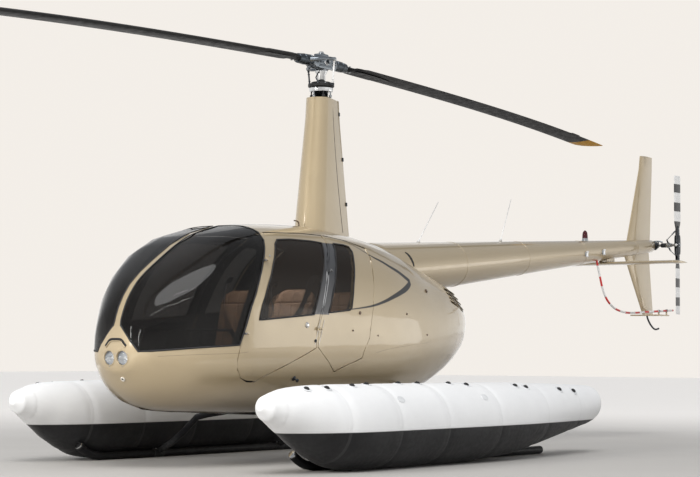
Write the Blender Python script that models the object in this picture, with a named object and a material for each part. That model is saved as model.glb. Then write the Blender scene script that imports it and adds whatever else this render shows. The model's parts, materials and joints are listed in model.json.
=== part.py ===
# A light four-seat helicopter on fixed floats, built as separate pieces.
# Metres. +X is the helicopter's left, -Y its nose, +Z up, and the floor is at z = 0.
# Pieces are drawn from the mast's foot, then all hang from one empty that centres the length.

import bpy
import bmesh
from math import cos, hypot, pi, radians, sin, sqrt
from mathutils import Matrix, Vector

for old in list(bpy.data.objects):
    bpy.data.objects.remove(old, do_unlink=True)

# Fits and wall sizes
touch = 0.0003            # gap between pieces that touch
seam = 0.0063            # gap round the doors
wall = 0.026              # cabin wall and door
glazing = 0.006           # windscreen and windows
post_depth = 0.044        # windscreen post, from the skin inwards
flange = 0.008            # post strip that shows beside the windscreen
pillar = 0.014            # post strip that shows between the doors
bow_width = 0.036         # post behind the windscreen's rear edge

# Main rotor
rotor_radius = 5.03
rotor_turn = radians(2.8)  # blades' turn from the fore-and-aft line
rotor_teeter = radians(0.32)  # aft blade up, forward blade down
hub_height = 3.235
blade_chord = 0.258
blade_pitch = radians(0.0)
mast_radius = 0.035
mast_foot = 2.70

# Tail
tail_hub = Vector((0.30, 5.893, 2.015))
tail_radius = 0.7366
tail_chord = 0.125
tail_root = 0.110         # where a tail rotor blade meets its arm
boom_end = 5.84
stabilizer_z = 1.780
plate_z = 1.270

# Floats and skids
float_radius = 0.31
skid_radius = 0.0327
skid_x = 1.045
contact = radians(54)     # slope of the line from a float's centre down to its skid tube
float_x = skid_x + (float_radius + skid_radius + touch) * cos(contact)
front_cross_y = -0.80
rear_cross_y = 0.78

# Hull sections: y, half width, bottom, top, height of the widest line, roundness above, below
hull_sections = (
    (-2.425, 0.000, 0.860, 0.860, 0.86, 2.0, 2.0),
    (-2.408, 0.150, 0.715, 1.020, 0.86, 2.2, 2.2),
    (-2.360, 0.258, 0.645, 1.165, 0.86, 2.3, 2.2),
    (-2.250, 0.362, 0.520, 1.329, 0.86, 2.5, 2.2),
    (-2.000, 0.535, 0.415, 1.520, 0.87, 3.3, 2.2),
    (-1.600, 0.645, 0.394, 1.735, 0.88, 3.9, 2.3),
    (-1.100, 0.643, 0.377, 1.836, 0.90, 3.2, 2.4),
    (-0.500, 0.643, 0.394, 1.854, 0.92, 2.8, 2.5),
    (0.100, 0.640, 0.393, 1.813, 0.94, 2.7, 2.5),
    (0.600, 0.600, 0.428, 1.740, 0.98, 2.4, 2.4),
    (1.100, 0.518, 0.535, 1.610, 1.04, 2.1, 2.3),
    (1.550, 0.384, 0.695, 1.488, 1.09, 2.1, 2.2),
    (1.850, 0.229, 0.850, 1.356, 1.12, 2.0, 2.1),
    (1.970, 0.121, 0.965, 1.251, 1.14, 2.0, 2.0),
    (2.000, 0.000, 1.140, 1.140, 1.14, 2.0, 2.0),
)
rings_per_section = 2
hull_sides = 32

# Panel outlines in side view, as (y, z)
screen_foot = ((-2.402, 0.843), (-2.301, 0.854), (-2.071, 0.877), (-1.770, 0.897))
screen_rear = (
    (-1.770, 0.897), (-1.718, 1.020), (-1.659, 1.175), (-1.576, 1.340), (-1.476, 1.510),
    (-1.398, 1.618),
)
screen_head = ((-1.352, 1.681), (-1.330, 1.735), (-1.321, 1.800), (-1.321, 2.000))
front_door_chin = (
    (-1.775, 0.860), (-1.787, 0.782), (-1.769, 0.717), (-1.713, 0.655), (-1.640, 0.628),
)
front_door_sill = (
    (-1.557, 0.624), (-1.481, 0.658), (-1.389, 0.698), (-1.228, 0.755), (-0.981, 0.843),
    (-0.895, 0.878),
)
pillar_line = ((-0.880, 0.886), (-0.878, 1.018), (-0.643, 1.546), (-0.509, 1.703), (-0.480, 1.768))
door_head = ((-1.345, 1.690), (-1.270, 1.748), (-0.778, 1.770))
rear_door_sill = (
    (-0.627, 0.695), (-0.491, 0.745), (-0.330, 0.791), (-0.285, 0.806),
)
rear_door_rear = (
    (-0.262, 0.862), (-0.194, 0.964), (-0.180, 1.028), (-0.118, 1.266), (-0.044, 1.508),
    (0.007, 1.608), (0.030, 1.690),
)
rear_door_head = ((-0.203, 1.741), (-0.393, 1.762))
low_seam = ((-0.107, 0.847), (0.089, 0.880), (0.349, 0.906), (0.700, 0.935), (1.300, 1.000))
high_seam = ((1.300, 1.350), (1.100, 1.420), (0.700, 1.530), (0.300, 1.620))
nose_split = -1.640
belly_split = 0.420
roof_split = 0.300
tail_split = 1.300
firewall_y = 0.050

# Windows in side view, as (y, z)
front_window = (
    (-1.585, 1.080), (-0.920, 1.134), (-0.800, 1.370), (-0.597, 1.700), (-0.740, 1.708),
    (-1.015, 1.707), (-1.190, 1.694), (-1.254, 1.655), (-1.362, 1.512), (-1.466, 1.340),
    (-1.548, 1.190),
)
rear_window = (
    (-0.732, 1.152), (-0.456, 1.178), (-0.428, 1.195), (-0.367, 1.377), (-0.281, 1.562),
    (-0.232, 1.650), (-0.236, 1.688), (-0.300, 1.700), (-0.436, 1.704), (-0.530, 1.560),
)

# Nose lamp panel in front view, as (x, z)
lamp_panel = (
    (-0.193, 0.705), (0.193, 0.705), (0.193, 0.843), (0.130, 0.920), (0.030, 1.030), (-0.030, 1.030),
    (-0.130, 0.920), (-0.193, 0.843),
)
lamp_x = 0.062
lamp_z = 0.800
lamp_radius = 0.052

# Float stations: y, radius, height of the centre, shift towards the hull
float_stations = (
    (-2.262, 0.030, 0.470, 0.050), (-2.215, 0.082, 0.462, 0.046), (-2.060, 0.151, 0.439, 0.034),
    (-1.830, 0.229, 0.384, 0.018), (-1.520, 0.297, 0.323, 0.004), (-1.250, float_radius, float_radius, 0.0),
    (0.050, float_radius, float_radius, 0.0), (0.500, 0.300, 0.318, 0.001), (0.800, 0.289, 0.327, 0.003),
    (1.150, 0.262, 0.347, 0.010), (1.500, 0.231, 0.370, 0.020), (1.850, 0.200, 0.392, 0.030),
    (2.150, 0.172, 0.411, 0.036), (2.250, 0.155, 0.420, 0.038), (2.310, 0.118, 0.430, 0.042),
    (2.340, 0.070, 0.436, 0.046), (2.350, 0.030, 0.440, 0.048),
)

airframe = bpy.data.objects.new("airframe_centre", None)
bpy.context.collection.objects.link(airframe)


def boom_radius(y):
    return 0.5 * (0.398 - 0.069 * (y - 2.026))


def boom_centre(y):
    return 1.658 + 0.0915 * (y - 2.026)


def paint(name, colour, roughness, metallic=0.0):
    material = bpy.data.materials.new(name)
    material.use_nodes = True
    shader = material.node_tree.nodes["Principled BSDF"]
    shader.inputs["Base Color"].default_value = (*colour, 1.0)
    shader.inputs["Roughness"].default_value = roughness
    shader.inputs["Metallic"].default_value = metallic
    return material


# Finishes: name, colour, roughness, metallic
finishes = {
    name: (colour, roughness, metallic)
    for name, colour, roughness, metallic in (
        ("champagne_paint", (0.55, 0.47, 0.36), 0.25, 0.4),
        ("smoked_glazing", (0.02, 0.02, 0.02), 0.05, 0.0),
        ("black_paint", (0.03, 0.03, 0.03), 0.45, 0.0),
        ("float_fabric", (0.85, 0.85, 0.85), 0.55, 0.0),
        ("bare_steel", (0.55, 0.56, 0.58), 0.35, 1.0),
        ("dark_trim", (0.06, 0.06, 0.065), 0.6, 0.0),
        ("brown_leather", (0.22, 0.11, 0.06), 0.5, 0.0),
        ("white_paint", (0.8, 0.8, 0.8), 0.4, 0.0),
        ("red_paint", (0.6, 0.05, 0.04), 0.4, 0.0),
        ("lamp_glass", (0.8, 0.82, 0.85), 0.1, 0.0),
    )
}


def finish(obj, name):
    colour, roughness, metallic = finishes[name]
    obj.data.materials.append(paint(obj.name + "_" + name, colour, roughness, metallic))


def new_object(name, bm, at=(0, 0, 0), turn=(0, 0, 0)):
    """Object from a mesh drawn in the mast's frame, with its origin at the given place."""
    mesh = bpy.data.meshes.new(name)
    place = Matrix.Translation(at) @ Matrix.Rotation(turn[2], 4, "Z")
    bmesh.ops.recalc_face_normals(bm, faces=bm.faces)
    bm.transform(place.inverted())
    bm.to_mesh(mesh)
    bm.free()
    obj = bpy.data.objects.new(name, mesh)
    bpy.context.collection.objects.link(obj)
    obj.parent = airframe
    obj.location = at
    obj.rotation_euler = turn
    return obj


def piece(name, bm, coat, at=(0, 0, 0), turn=(0, 0, 0), crease=35):
    obj = new_object(name, bm, at, turn)
    finish(obj, coat)
    obj.data.shade_smooth()
    obj.data.set_sharp_from_angle(angle=radians(crease))
    return obj


def guide(name, bm):
    obj = new_object(name, bm)
    obj.hide_render = True
    obj.display_type = "WIRE"
    return obj


def boolean(obj, cutter, operation):
    modifier = obj.modifiers.new(operation.lower() + "_" + cutter.name, "BOOLEAN")
    modifier.operation = operation
    modifier.solver = "EXACT"
    modifier.object = cutter


def ring_faces(bm, first, second):
    count = len(first)
    for i in range(count):
        j = (i + 1) % count
        bm.faces.new((first[i], first[j], second[j], second[i]))


def loft(bm, rings):
    """Skin over rings of like counts. A ring of one point closes the end in a tip."""
    rows = [[bm.verts.new(p) for p in ring] for ring in rings]
    for first, second in zip(rows, rows[1:]):
        if len(first) == 1 or len(second) == 1:
            tip, ring = (first[0], second) if len(first) == 1 else (second[0], first)
            for i in range(len(ring)):
                bm.faces.new((tip, ring[i], ring[(i + 1) % len(ring)]))
        else:
            ring_faces(bm, first, second)
    for end in (rows[0], rows[-1]):
        if len(end) > 2:
            bm.faces.new(end)
    return bm


def circle(centre, radius, across, up, sides, start=0.0):
    angles = [start + 2 * pi * i / sides for i in range(sides)]
    return [Vector(centre) + radius * (cos(a) * across + sin(a) * up) for a in angles]


def frame_along(direction):
    direction = direction.normalized()
    side = Vector((0, 0, 1)).cross(direction)
    if side.length < 1e-4:
        side = Vector((1, 0, 0))
    side.normalize()
    return side, direction.cross(side)


def tube(bm, points, radius, sides=10, start=0.0):
    """Round bar along points. A radius may be one number or one for each point."""
    points = [Vector(p) for p in points]
    radii = radius if isinstance(radius, (tuple, list)) else [radius] * len(points)
    rings = []
    across, up = frame_along(points[1] - points[0])
    for i, point in enumerate(points):
        before = points[max(i - 1, 0)]
        after = points[min(i + 1, len(points) - 1)]
        ahead = (after - before).normalized()
        across = (across - across.dot(ahead) * ahead).normalized()
        up = ahead.cross(across)
        rings.append(circle(point, radii[i], across, up, sides, start))
    return loft(bm, rings)


def turned(bm, centre, axis, profile, sides=24, start=0.0):
    """Body turned about an axis, from a profile of (distance along the axis, radius)."""
    axis = Vector(axis).normalized()
    across, up = frame_along(axis)
    rings = []
    for along, radius in profile:
        middle = Vector(centre) + along * axis
        rings.append([middle] if radius == 0 else circle(middle, radius, across, up, sides, start))
    return loft(bm, rings)


def washer(bm, centre, axis, inner, outer, low, high, sides=24):
    """Ring with a square section between two distances along its axis."""
    axis = Vector(axis).normalized()
    across, up = frame_along(axis)
    rings = []
    for along, radius in ((low, inner), (low, outer), (high, outer), (high, inner)):
        ring = circle(Vector(centre) + along * axis, radius, across, up, sides)
        rings.append([bm.verts.new(p) for p in ring])
    for first, second in zip(rings, rings[1:] + rings[:1]):
        ring_faces(bm, first, second)
    return bm


def block(bm, low, high):
    made = bmesh.ops.create_cube(bm, size=1.0)["verts"]
    for v in made:
        for k in range(3):
            v.co[k] = low[k] if v.co[k] < 0 else high[k]
    return bm


def oriented_block(bm, centre, axes, low, high):
    """Box whose sides run along three given directions, with limits measured from the centre."""
    made = bmesh.ops.create_cube(bm, size=1.0)["verts"]
    for v in made:
        reach = [low[k] if v.co[k] < 0 else high[k] for k in range(3)]
        v.co = Vector(centre) + sum((reach[k] * axes[k] for k in range(3)), Vector())
    return bm


def moved_outline(outline, distance):
    """Outline with each side moved outwards by a distance."""
    area = sum(a[0] * b[1] - b[0] * a[1] for a, b in zip(outline, outline[1:] + outline[:1]))
    turn = 1 if area > 0 else -1
    result = []
    for i in range(len(outline)):
        p, here, q = (Vector(outline[k]) for k in (i - 1, i, (i + 1) % len(outline)))
        first = (here - p).normalized()
        second = (q - here).normalized()
        out_first = turn * Vector((first.y, -first.x))
        out_second = turn * Vector((second.y, -second.x))
        miter = (out_first + out_second) / max(1 + out_first.dot(out_second), 0.3)
        result.append(tuple(here + distance * miter))
    return result


def prism(bm, outline, axis, low, high):
    """Outline pushed along one axis. The outline's two numbers are the other two axes in order."""
    rings = []
    for reach in (low, high):
        ring = []
        for a, b in outline:
            ring.append({"x": (reach, a, b), "y": (a, reach, b), "z": (a, b, reach)}[axis])
        rings.append(ring)
    return loft(bm, rings)


def side_guide(name, outline, grow=0.0, low=-1.0, high=1.0):
    return guide(name, prism(bmesh.new(), moved_outline(list(outline), grow), "x", low, high))


# The hull's skin, from its sections


def smooth_value(rows, column, u):
    """Monotone cubic between rows, at row number u."""
    last = len(rows) - 1
    i = min(int(u), last - 1)
    t = u - i
    values = [row[column] for row in rows]
    steps = [b - a for a, b in zip(values, values[1:])]

    def slope(k):
        if k in (0, last):
            return steps[0] if k == 0 else steps[-1]
        before, after = steps[k - 1], steps[k]
        return 0.0 if before * after <= 0 else 2 * before * after / (before + after)

    h00 = (1 + 2 * t) * (1 - t) ** 2
    h10 = t * (1 - t) ** 2
    h01 = t * t * (3 - 2 * t)
    h11 = t * t * (t - 1)
    return h00 * values[i] + h10 * slope(i) + h01 * values[i + 1] + h11 * slope(i + 1)


def hull_section(u):
    return [smooth_value(hull_sections, column, u) for column in range(7)]


def hull_ring(u):
    y, half, bottom, top, waist, above, below = hull_section(u)
    ring = []
    for i in range(hull_sides):
        a = 2 * pi * i / hull_sides
        power = 2 / (above if sin(a) >= 0 else below)
        x = half * abs(cos(a)) ** power * (1 if cos(a) >= 0 else -1)
        rise = abs(sin(a)) ** power
        ring.append(Vector((x, y, waist + rise * ((top - waist) if sin(a) >= 0 else (bottom - waist)))))
    return ring


def hull_body(inset):
    last = len(hull_sections) - 1
    count = last * rings_per_section
    rings = [hull_ring(i / rings_per_section) for i in range(1, count)]
    first_tip = Vector((0, hull_sections[0][0], hull_sections[0][4]))
    last_tip = Vector((0, hull_sections[-1][0], hull_sections[-1][4]))
    bm = loft(bmesh.new(), [[first_tip]] + rings + [[last_tip]])
    bmesh.ops.triangulate(bm, faces=bm.faces, quad_method="FIXED")
    bmesh.ops.recalc_face_normals(bm, faces=bm.faces)
    bm.normal_update()
    shifts = [v.normal.copy() * inset for v in bm.verts]
    for v, shift in zip(bm.verts, shifts):
        v.co -= shift
    return bm


def skin_x(y, z):
    """Half width of the hull at a place in side view."""
    low, high = 0.0, float(len(hull_sections) - 1)
    for halving in range(40):
        middle = (low + high) / 2
        low, high = (middle, high) if hull_section(middle)[0] < y else (low, middle)
    half, bottom, top, waist, above, below = hull_section(low)[1:]
    power = above if z >= waist else below
    rise = abs(z - waist) / ((top - waist) if z >= waist else (waist - bottom))
    return half * max(1 - min(rise, 1.0) ** power, 0.0) ** (1 / power)


hull_grown = guide("guide_hull_grown", hull_body(-touch))
under_wall = guide("guide_under_wall", hull_body(wall))
under_glass = guide("guide_under_glass", hull_body(glazing))
under_post = guide("guide_under_post", hull_body(post_depth))


def hull_panel(name, keep, cuts, coat, inner=under_wall, at=(0, 0, 0), skin_inset=0.0):
    """Part of the hull's wall: inside every keep guide, outside the cuts and the inner body."""
    obj = piece(name, hull_body(skin_inset), coat, at, crease=40)
    for shape in keep:
        boolean(obj, shape, "INTERSECT")
    for shape in cuts:
        boolean(obj, shape, "DIFFERENCE")
    boolean(obj, inner, "DIFFERENCE")
    return obj


# Outlines of the panels, worked out from the shared lines


def shifted(line, dy):
    return [(y + dy, z) for y, z in line]


half_pillar = pillar / 2
front_door = (
    list(screen_rear[:0:-1]) + list(front_door_chin) + list(front_door_sill)
    + shifted(pillar_line, -half_pillar) + list(door_head[::-1])
)
rear_door = (
    shifted(pillar_line, half_pillar)[::-1] + list(rear_door_sill) + list(rear_door_rear)
    + list(rear_door_head)
)


def relieved(outline, moves):
    """Outline whose named corners are moved, which gives a door room to swing."""
    result = []
    for y, z in outline:
        for corner_y, corner_z, dy, dz in moves:
            if hypot(y - corner_y, z - corner_z) < 0.012:
                y, z = y + dy, z + dz
                break
        result.append((y, z))
    return result


# Corners of the doors' own edges: corner y, corner z, move in y, move in z
front_door_relief = (
    (-1.640, 0.628, 0.0, 0.006), (-1.557, 0.624, 0.0, 0.006), (-1.481, 0.658, 0.0, 0.003),
    (-0.643, 1.546, -0.004, 0.0), (-0.509, 1.703, -0.013, 0.0), (-0.480, 1.768, -0.021, 0.0),
)
rear_door_relief = (
    (-0.627, 0.695, 0.001, 0.003), (-0.044, 1.508, -0.004, 0.0),
    (0.007, 1.608, -0.012, 0.0), (0.030, 1.690, -0.021, 0.0),
)
far = 3.0
screen_outline = (
    [(-far, 0.800), (-2.460, 0.835)] + list(screen_foot) + list(screen_rear[1:]) + list(screen_head)
    + [(-1.321, far), (-far, far)]
)
pane_outline = (
    [(-far, 0.800), (-2.460, 0.835)] + list(screen_foot[:-1]) + [(-1.770 - flange, 0.8965)]
    + shifted(screen_rear[1:], -flange - 0.001) + list(screen_head) + [(-1.321, far), (-far, far)]
)
roof_outline = (
    [(-1.321, far), (-1.321, 1.800), (-1.330, 1.735), (-1.352, 1.681), (-1.398, 1.618)]
    + list(door_head) + shifted(pillar_line[::-1], -half_pillar) + shifted(pillar_line, half_pillar)
    + list(rear_door_head[::-1]) + [(0.030, 1.690), (roof_split, 1.620), (roof_split, far)]
)
cowl_outline = list(rear_door_rear[::-1]) + [(-0.285, 0.806)] + list(low_seam) + list(high_seam)
belly_outline = (
    [(nose_split, 0.628)] + list(front_door_sill) + [shifted(pillar_line, -half_pillar)[0]]
    + [shifted(pillar_line, half_pillar)[0]] + list(rear_door_sill) + list(low_seam[:3])
    + [(belly_split, 0.912), (belly_split, 0.0), (nose_split, 0.0)]
)
nose_outline = (
    [(-far, 0.0), (nose_split, 0.0)] + list(front_door_chin[::-1]) + [(-1.770, 0.897)]
    + list(screen_foot[-2::-1]) + [(-2.460, 0.835), (-far, 0.800)]
)
hair = touch / 2



def nose_guide(name, outline, grow):
    return guide(name, prism(bmesh.new(), moved_outline(list(outline), grow), "y", -far, -2.2))


lamp_guide = nose_guide("guide_lamp_panel", lamp_panel, hair)
lamp_keep = nose_guide("guide_lamp_keep", lamp_panel, -hair)


def shell_pieces():
    sockets = bmesh.new()
    for side in (1, -1):
        profile = ((0, lamp_radius + touch), (0.75, lamp_radius + touch))
        turned(sockets, (side * lamp_x, -far, lamp_z), (0, 1, 0), profile)
    socket_guide = guide("guide_lamp_sockets", sockets)
    nose_keep = side_guide("guide_nose", nose_outline, -hair)
    hull_panel("nose_shell", [nose_keep], [lamp_guide], "champagne_paint")
    hull_panel("nose_lamp_panel", [lamp_keep], [socket_guide], "champagne_paint")
    belly_keep = side_guide("guide_belly", belly_outline, -hair)
    hull_panel("belly_tub", [belly_keep], [], "champagne_paint")
    roof_keep = side_guide("guide_roof", roof_outline, -hair)
    roof = hull_panel("roof_shell", [roof_keep], [boom_guide], "champagne_paint")
    for side, word in ((1, "left"), (-1, "right")):
        add_fixed_knuckles(roof, rear_hinge(side), "rear_" + word)
    for side, word in ((1, "left"), (-1, "right")):
        low, high = (0.0, 1.0) if side > 0 else (-1.0, 0.0)
        cowl_keep = side_guide("guide_cowl_" + word, cowl_outline, -hair, low, high)
        hull_panel("cowl_side_" + word, [cowl_keep], [boom_guide], "champagne_paint")
    top_outline = [(roof_split, far), (roof_split, 1.620)] + list(high_seam[-2::-1]) + [(tail_split, far)]
    top_keep = side_guide("guide_cowl_top", top_outline, -hair)
    hull_panel("cowl_top", [top_keep], [boom_guide], "champagne_paint")
    under_outline = [(belly_split, 0.912)] + list(low_seam[3:]) + [(tail_split, 0.0), (belly_split, 0.0)]
    under_keep = side_guide("guide_cowl_under", under_outline, -hair)
    outlet = guide("guide_belly_outlet", block(bmesh.new(), (-0.24, 0.56, 0.0), (0.24, 1.14, 0.75)))
    hull_panel("cowl_under", [under_keep], [outlet], "champagne_paint")
    tail_outline = [(tail_split, far), (tail_split, 0.0), (far, 0.0), (far, far)]
    tail_keep = side_guide("guide_cowl_tail", tail_outline, -hair)
    slots = bmesh.new()
    for side in (1, -1):
        for i in range(4):
            height = 1.285 + 0.036 * i
            aft = 1.690 - 0.035 * i
            drop = 0.217 * (aft - 1.335)
            low, high = sorted((side * 0.2, side * 0.6))
            outline = [
                (1.335, height), (aft, height - drop), (aft, height - drop + 0.018), (1.335, height + 0.018),
            ]
            prism(slots, outline, "x", low, high)
    slot_guide = guide("guide_louvres", slots)
    hull_panel("cowl_tail", [tail_keep], [boom_guide, slot_guide], "champagne_paint")


# Windscreen: two panes, a centre post and a post down each rear edge

centre_half = 0.028


def windscreen_pieces():
    screen_keep = side_guide("guide_screen", screen_outline, -hair)
    pane_keep = side_guide("guide_pane", pane_outline, -hair)
    middle = block(bmesh.new(), (-centre_half + hair, -far, 0), (centre_half - hair, 0, far))
    centre = guide("guide_screen_centre", middle)
    rear_line = list(screen_rear) + list(screen_head)
    band_outline = shifted(rear_line, -bow_width) + rear_line[::-1]
    over_bow = guide("guide_over_bow", hull_body(glazing))
    boolean(over_bow, side_guide("guide_bow_reach", band_outline, touch), "INTERSECT")
    hull_panel("windscreen_centre_post", [screen_keep, centre], [lamp_guide, over_bow], "champagne_paint")
    for side, word in ((1, "left"), (-1, "right")):
        low, high = (centre_half + hair, 1.0) if side > 0 else (-1.0, -centre_half - hair)
        half = guide("guide_pane_" + word, block(bmesh.new(), (low, -far, 0), (high, 0, far)))
        hull_panel("windscreen_" + word, [pane_keep, half], [lamp_guide], "smoked_glazing", under_glass)
    band_keep = side_guide("guide_post_band", band_outline, -hair)
    strip_outline = shifted(screen_rear, -flange) + list(screen_rear[::-1])
    strip_keep = side_guide("guide_post_strip", strip_outline, -hair)
    strip = hull_panel("guide_strip", [strip_keep], [], "dark_trim")
    strip.hide_render = True
    strip.display_type = "WIRE"
    posts = hull_panel(
        "windscreen_bow", [band_keep], [], "dark_trim", under_post, skin_inset=glazing + touch,
    )
    boolean(posts, strip, "UNION")
    for side, word in ((1, "left"), (-1, "right")):
        add_fixed_knuckles(posts, front_hinge(side), "front_" + word)


# Door hinges: two knuckle pairs on one straight axis outside the skin

hinge_stand_off = 0.020
knuckle_radius = 0.006
knuckle_length = 0.0125


def hinge_point(side, y, z, stand_off=hinge_stand_off):
    return Vector((side * (skin_x(y, z) + stand_off), y, z))


def line_y(line, z):
    for (y0, z0), (y1, z1) in zip(line, line[1:]):
        if z0 <= z <= z1:
            return y0 + (y1 - y0) * (z - z0) / (z1 - z0)


def front_hinge(side):
    return tuple(hinge_point(side, line_y(screen_rear, z) - flange / 2, z) for z in (0.985, 1.530))


def rear_hinge(side):
    return tuple(hinge_point(side, line_y(pillar_line, z), z) for z in (1.030, 1.480))


def knuckle_frame(ends, side_sign):
    axis = (ends[1] - ends[0]).normalized()
    out = Vector((side_sign, 0, 0))
    out = (out - out.dot(axis) * axis).normalized()
    back = axis.cross(out)
    if back.y < 0:
        back = -back
    return axis, out, back


def add_fixed_knuckles(obj, ends, label):
    side_sign = 1 if ends[0].x > 0 else -1
    axis, out, back = knuckle_frame(ends, side_sign)
    arms = bmesh.new()
    pins = bmesh.new()
    for point in ends:
        low = -knuckle_length - hair
        root = -hinge_stand_off - 0.016
        oriented_block(arms, point, (axis, out, back), (low, root, -0.0025), (-hair, 0.0, 0.0025))
        turned(pins, point, axis, ((low, knuckle_radius), (-hair, knuckle_radius)), 12)
    boolean(obj, guide("guide_fixed_arms_" + label, arms), "UNION")
    boolean(obj, guide("guide_fixed_pins_" + label, pins), "UNION")


def add_door_knuckles(obj, ends, label):
    side_sign = 1 if ends[0].x > 0 else -1
    axis, out, back = knuckle_frame(ends, side_sign)
    arms = bmesh.new()
    pads = bmesh.new()
    pins = bmesh.new()
    for point in ends:
        high = knuckle_length + hair
        oriented_block(arms, point, (axis, out, back), (hair, -0.005, 0.0), (high, 0.005, 0.030))
        root = -hinge_stand_off - 0.014
        near = hair + 0.001
        oriented_block(pads, point, (axis, out, back), (near, root, 0.016), (high - 0.001, 0.0, 0.029))
        turned(pins, point, axis, ((hair, knuckle_radius), (high, knuckle_radius)), 12)
    boolean(obj, guide("guide_door_pads_" + label, pads), "UNION")
    boolean(obj, guide("guide_door_arms_" + label, arms), "UNION")
    boolean(obj, guide("guide_door_pins_" + label, pins), "UNION")


def door_pieces():
    for side, word in ((1, "left"), (-1, "right")):
        low, high = (0.05, 1.0) if side > 0 else (-1.0, -0.05)
        for place, outline, window, ends in (
            ("front", relieved(front_door, front_door_relief), front_window, front_hinge(side)),
            ("rear", relieved(rear_door, rear_door_relief), rear_window, rear_hinge(side)),
        ):
            label = place + "_" + word
            keep = side_guide("guide_door_" + label, outline, -seam, low, high)
            opening = side_guide("guide_opening_" + label, window, hair, low, high)
            door = hull_panel("door_" + label, [keep], [opening], "champagne_paint", at=ends[0])
            add_door_knuckles(door, ends, label)
            glass = side_guide("guide_window_" + label, window, -hair, low, high)
            hull_panel("window_" + label, [glass], [], "smoked_glazing", under_glass, at=ends[0])


# Tail boom, which starts under the roof behind the mast


def boom_rings(grow=0.0):
    rings = []
    for y, radius, centre in (
        (0.36 - grow, 0.200, 1.500), (0.62, boom_radius(0.62), boom_centre(0.62)),
        (2.026, boom_radius(2.026), boom_centre(2.026)), (4.0, boom_radius(4.0), boom_centre(4.0)),
        (boom_end + grow, boom_radius(boom_end), boom_centre(boom_end)),
    ):
        rings.append(circle((0, y, centre), radius + grow, Vector((1, 0, 0)), Vector((0, 0, 1)), 24))
    return rings


boom_guide = guide("guide_boom", loft(bmesh.new(), boom_rings(touch)))


def fin_ring(front, rear, z, thickness, x=0.0):
    """Streamlined section between a front and a rear point."""
    chord = rear - front
    half = thickness / 2
    share = ((0.0, 0.0), (0.06, 0.62), (0.3, 1.0), (0.75, 0.5), (1.0, 0.06))
    left = [(x + half * w, front + chord * s, z) for s, w in share]
    right = [(x - half * w, front + chord * s, z) for s, w in share[:0:-1]]
    return left + right


def tail_pieces():
    piece("tail_boom", loft(bmesh.new(), boom_rings()), "champagne_paint")
    upper = loft(bmesh.new(), [fin_ring(5.300, 5.835, 1.98, 0.055), fin_ring(5.652, 5.906, 2.960, 0.034)])
    boolean(piece("fin_upper", upper, "champagne_paint"), boom_guide, "DIFFERENCE")
    top = plate_z + 0.008 + touch
    lower = loft(bmesh.new(), [fin_ring(5.212, 5.812, 1.96, 0.055), fin_ring(5.668, 5.906, top, 0.034)])
    boolean(piece("fin_lower", lower, "champagne_paint"), boom_guide, "DIFFERENCE")
    end = (0, boom_end + touch, tail_hub.z)
    plate = block(bmesh.new(), (-0.170, 5.700, plate_z - 0.008), (0.170, 5.970, plate_z + 0.008))
    obj = piece("fin_tip_plate", plate, "champagne_paint")
    posts = bmesh.new()
    for y in (5.740, 5.920):
        block(posts, (0.142, y, plate_z), (0.158, y + 0.016, guard_height(y) - guard_radius - touch))
    boolean(obj, guide("guide_guard_posts", posts), "UNION")
    hook = ((0, 5.772, plate_z), (0, 5.776, 1.225), (0, 5.810, 1.180), (0, 5.880, 1.150), (0, 6.062, 1.122))
    boolean(obj, guide("guide_tail_skid", tube(bmesh.new(), hook, 0.010, 8)), "UNION")
    span = 0.835
    half = 0.0175
    wing = bmesh.new()
    upper = ((0.08, 0.7), (0.3, 1.0), (0.75, 0.6))
    section = ((0.0, 0.0),) + upper + ((1.0, 0.1),) + tuple((s, -w) for s, w in upper[::-1])
    rings = []
    for x, shrink in ((-span, 0.70), (-span + 0.035, 1.0), (span - 0.035, 1.0), (span, 0.70)):
        ring = []
        for s, w in section:
            middle = 4.925
            ring.append((x, middle + (4.750 + 0.350 * s - middle) * shrink, stabilizer_z + half * w * shrink))
        rings.append(ring)
    obj = piece("stabilizer", loft(wing, rings), "champagne_paint")
    mount = block(bmesh.new(), (-0.045, 4.800, stabilizer_z), (0.045, 4.980, 1.90))
    boolean(obj, guide("guide_stabilizer_mount", mount), "UNION")
    boolean(obj, boom_guide, "DIFFERENCE")
    gearbox = bmesh.new()
    centre = (0, tail_hub.y, tail_hub.z)
    turned(gearbox, centre, (1, 0, 0), ((-0.055, 0.030), (-0.045, 0.042), (0.045, 0.048), (0.075, 0.030)), 16)
    obj = piece("tail_gearbox", gearbox, "bare_steel")
    flange_plate = turned(bmesh.new(), end, (0, 1, 0), ((0.0, 0.034), (0.045, 0.034)), 20)
    boolean(obj, guide("guide_gear_flange", flange_plate), "UNION")
    guard_pieces()
    lamp = bmesh.new()
    height = boom_centre(4.43) + boom_radius(4.43)
    profile = ((-0.03, 0.034), (0.035, 0.034), (0.038, 0.029), (0.085, 0.027), (0.100, 0.018), (0.105, 0.006))
    turned(lamp, (0, 4.43, height), (0, 0, 1), profile, 16)
    boolean(piece("beacon", lamp, "red_paint"), boom_guide, "DIFFERENCE")
    for word, y, tip_y, tip_z in (("front", 1.42, 1.75, 2.20), ("rear", 2.80, 3.00, 2.31)):
        start = Vector((0, y, boom_centre(y) + boom_radius(y) - 0.01))
        ahead = Vector((0, tip_y, tip_z)) - start
        profile = ((0, 0.016), (0.030, 0.014), (0.045, 0.006), (0.06, 0.0045), (ahead.length, 0.003))
        whip = piece("whip_antenna_" + word, turned(bmesh.new(), start, ahead, profile, 8), "white_paint")
        boolean(whip, boom_guide, "DIFFERENCE")


# Tail rotor guard: a bent tube from the boom to the lower fin's plate

guard_x = 0.150
guard_radius = 0.011
guard_low = ((5.10, 1.280), (6.08, 1.327))


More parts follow.
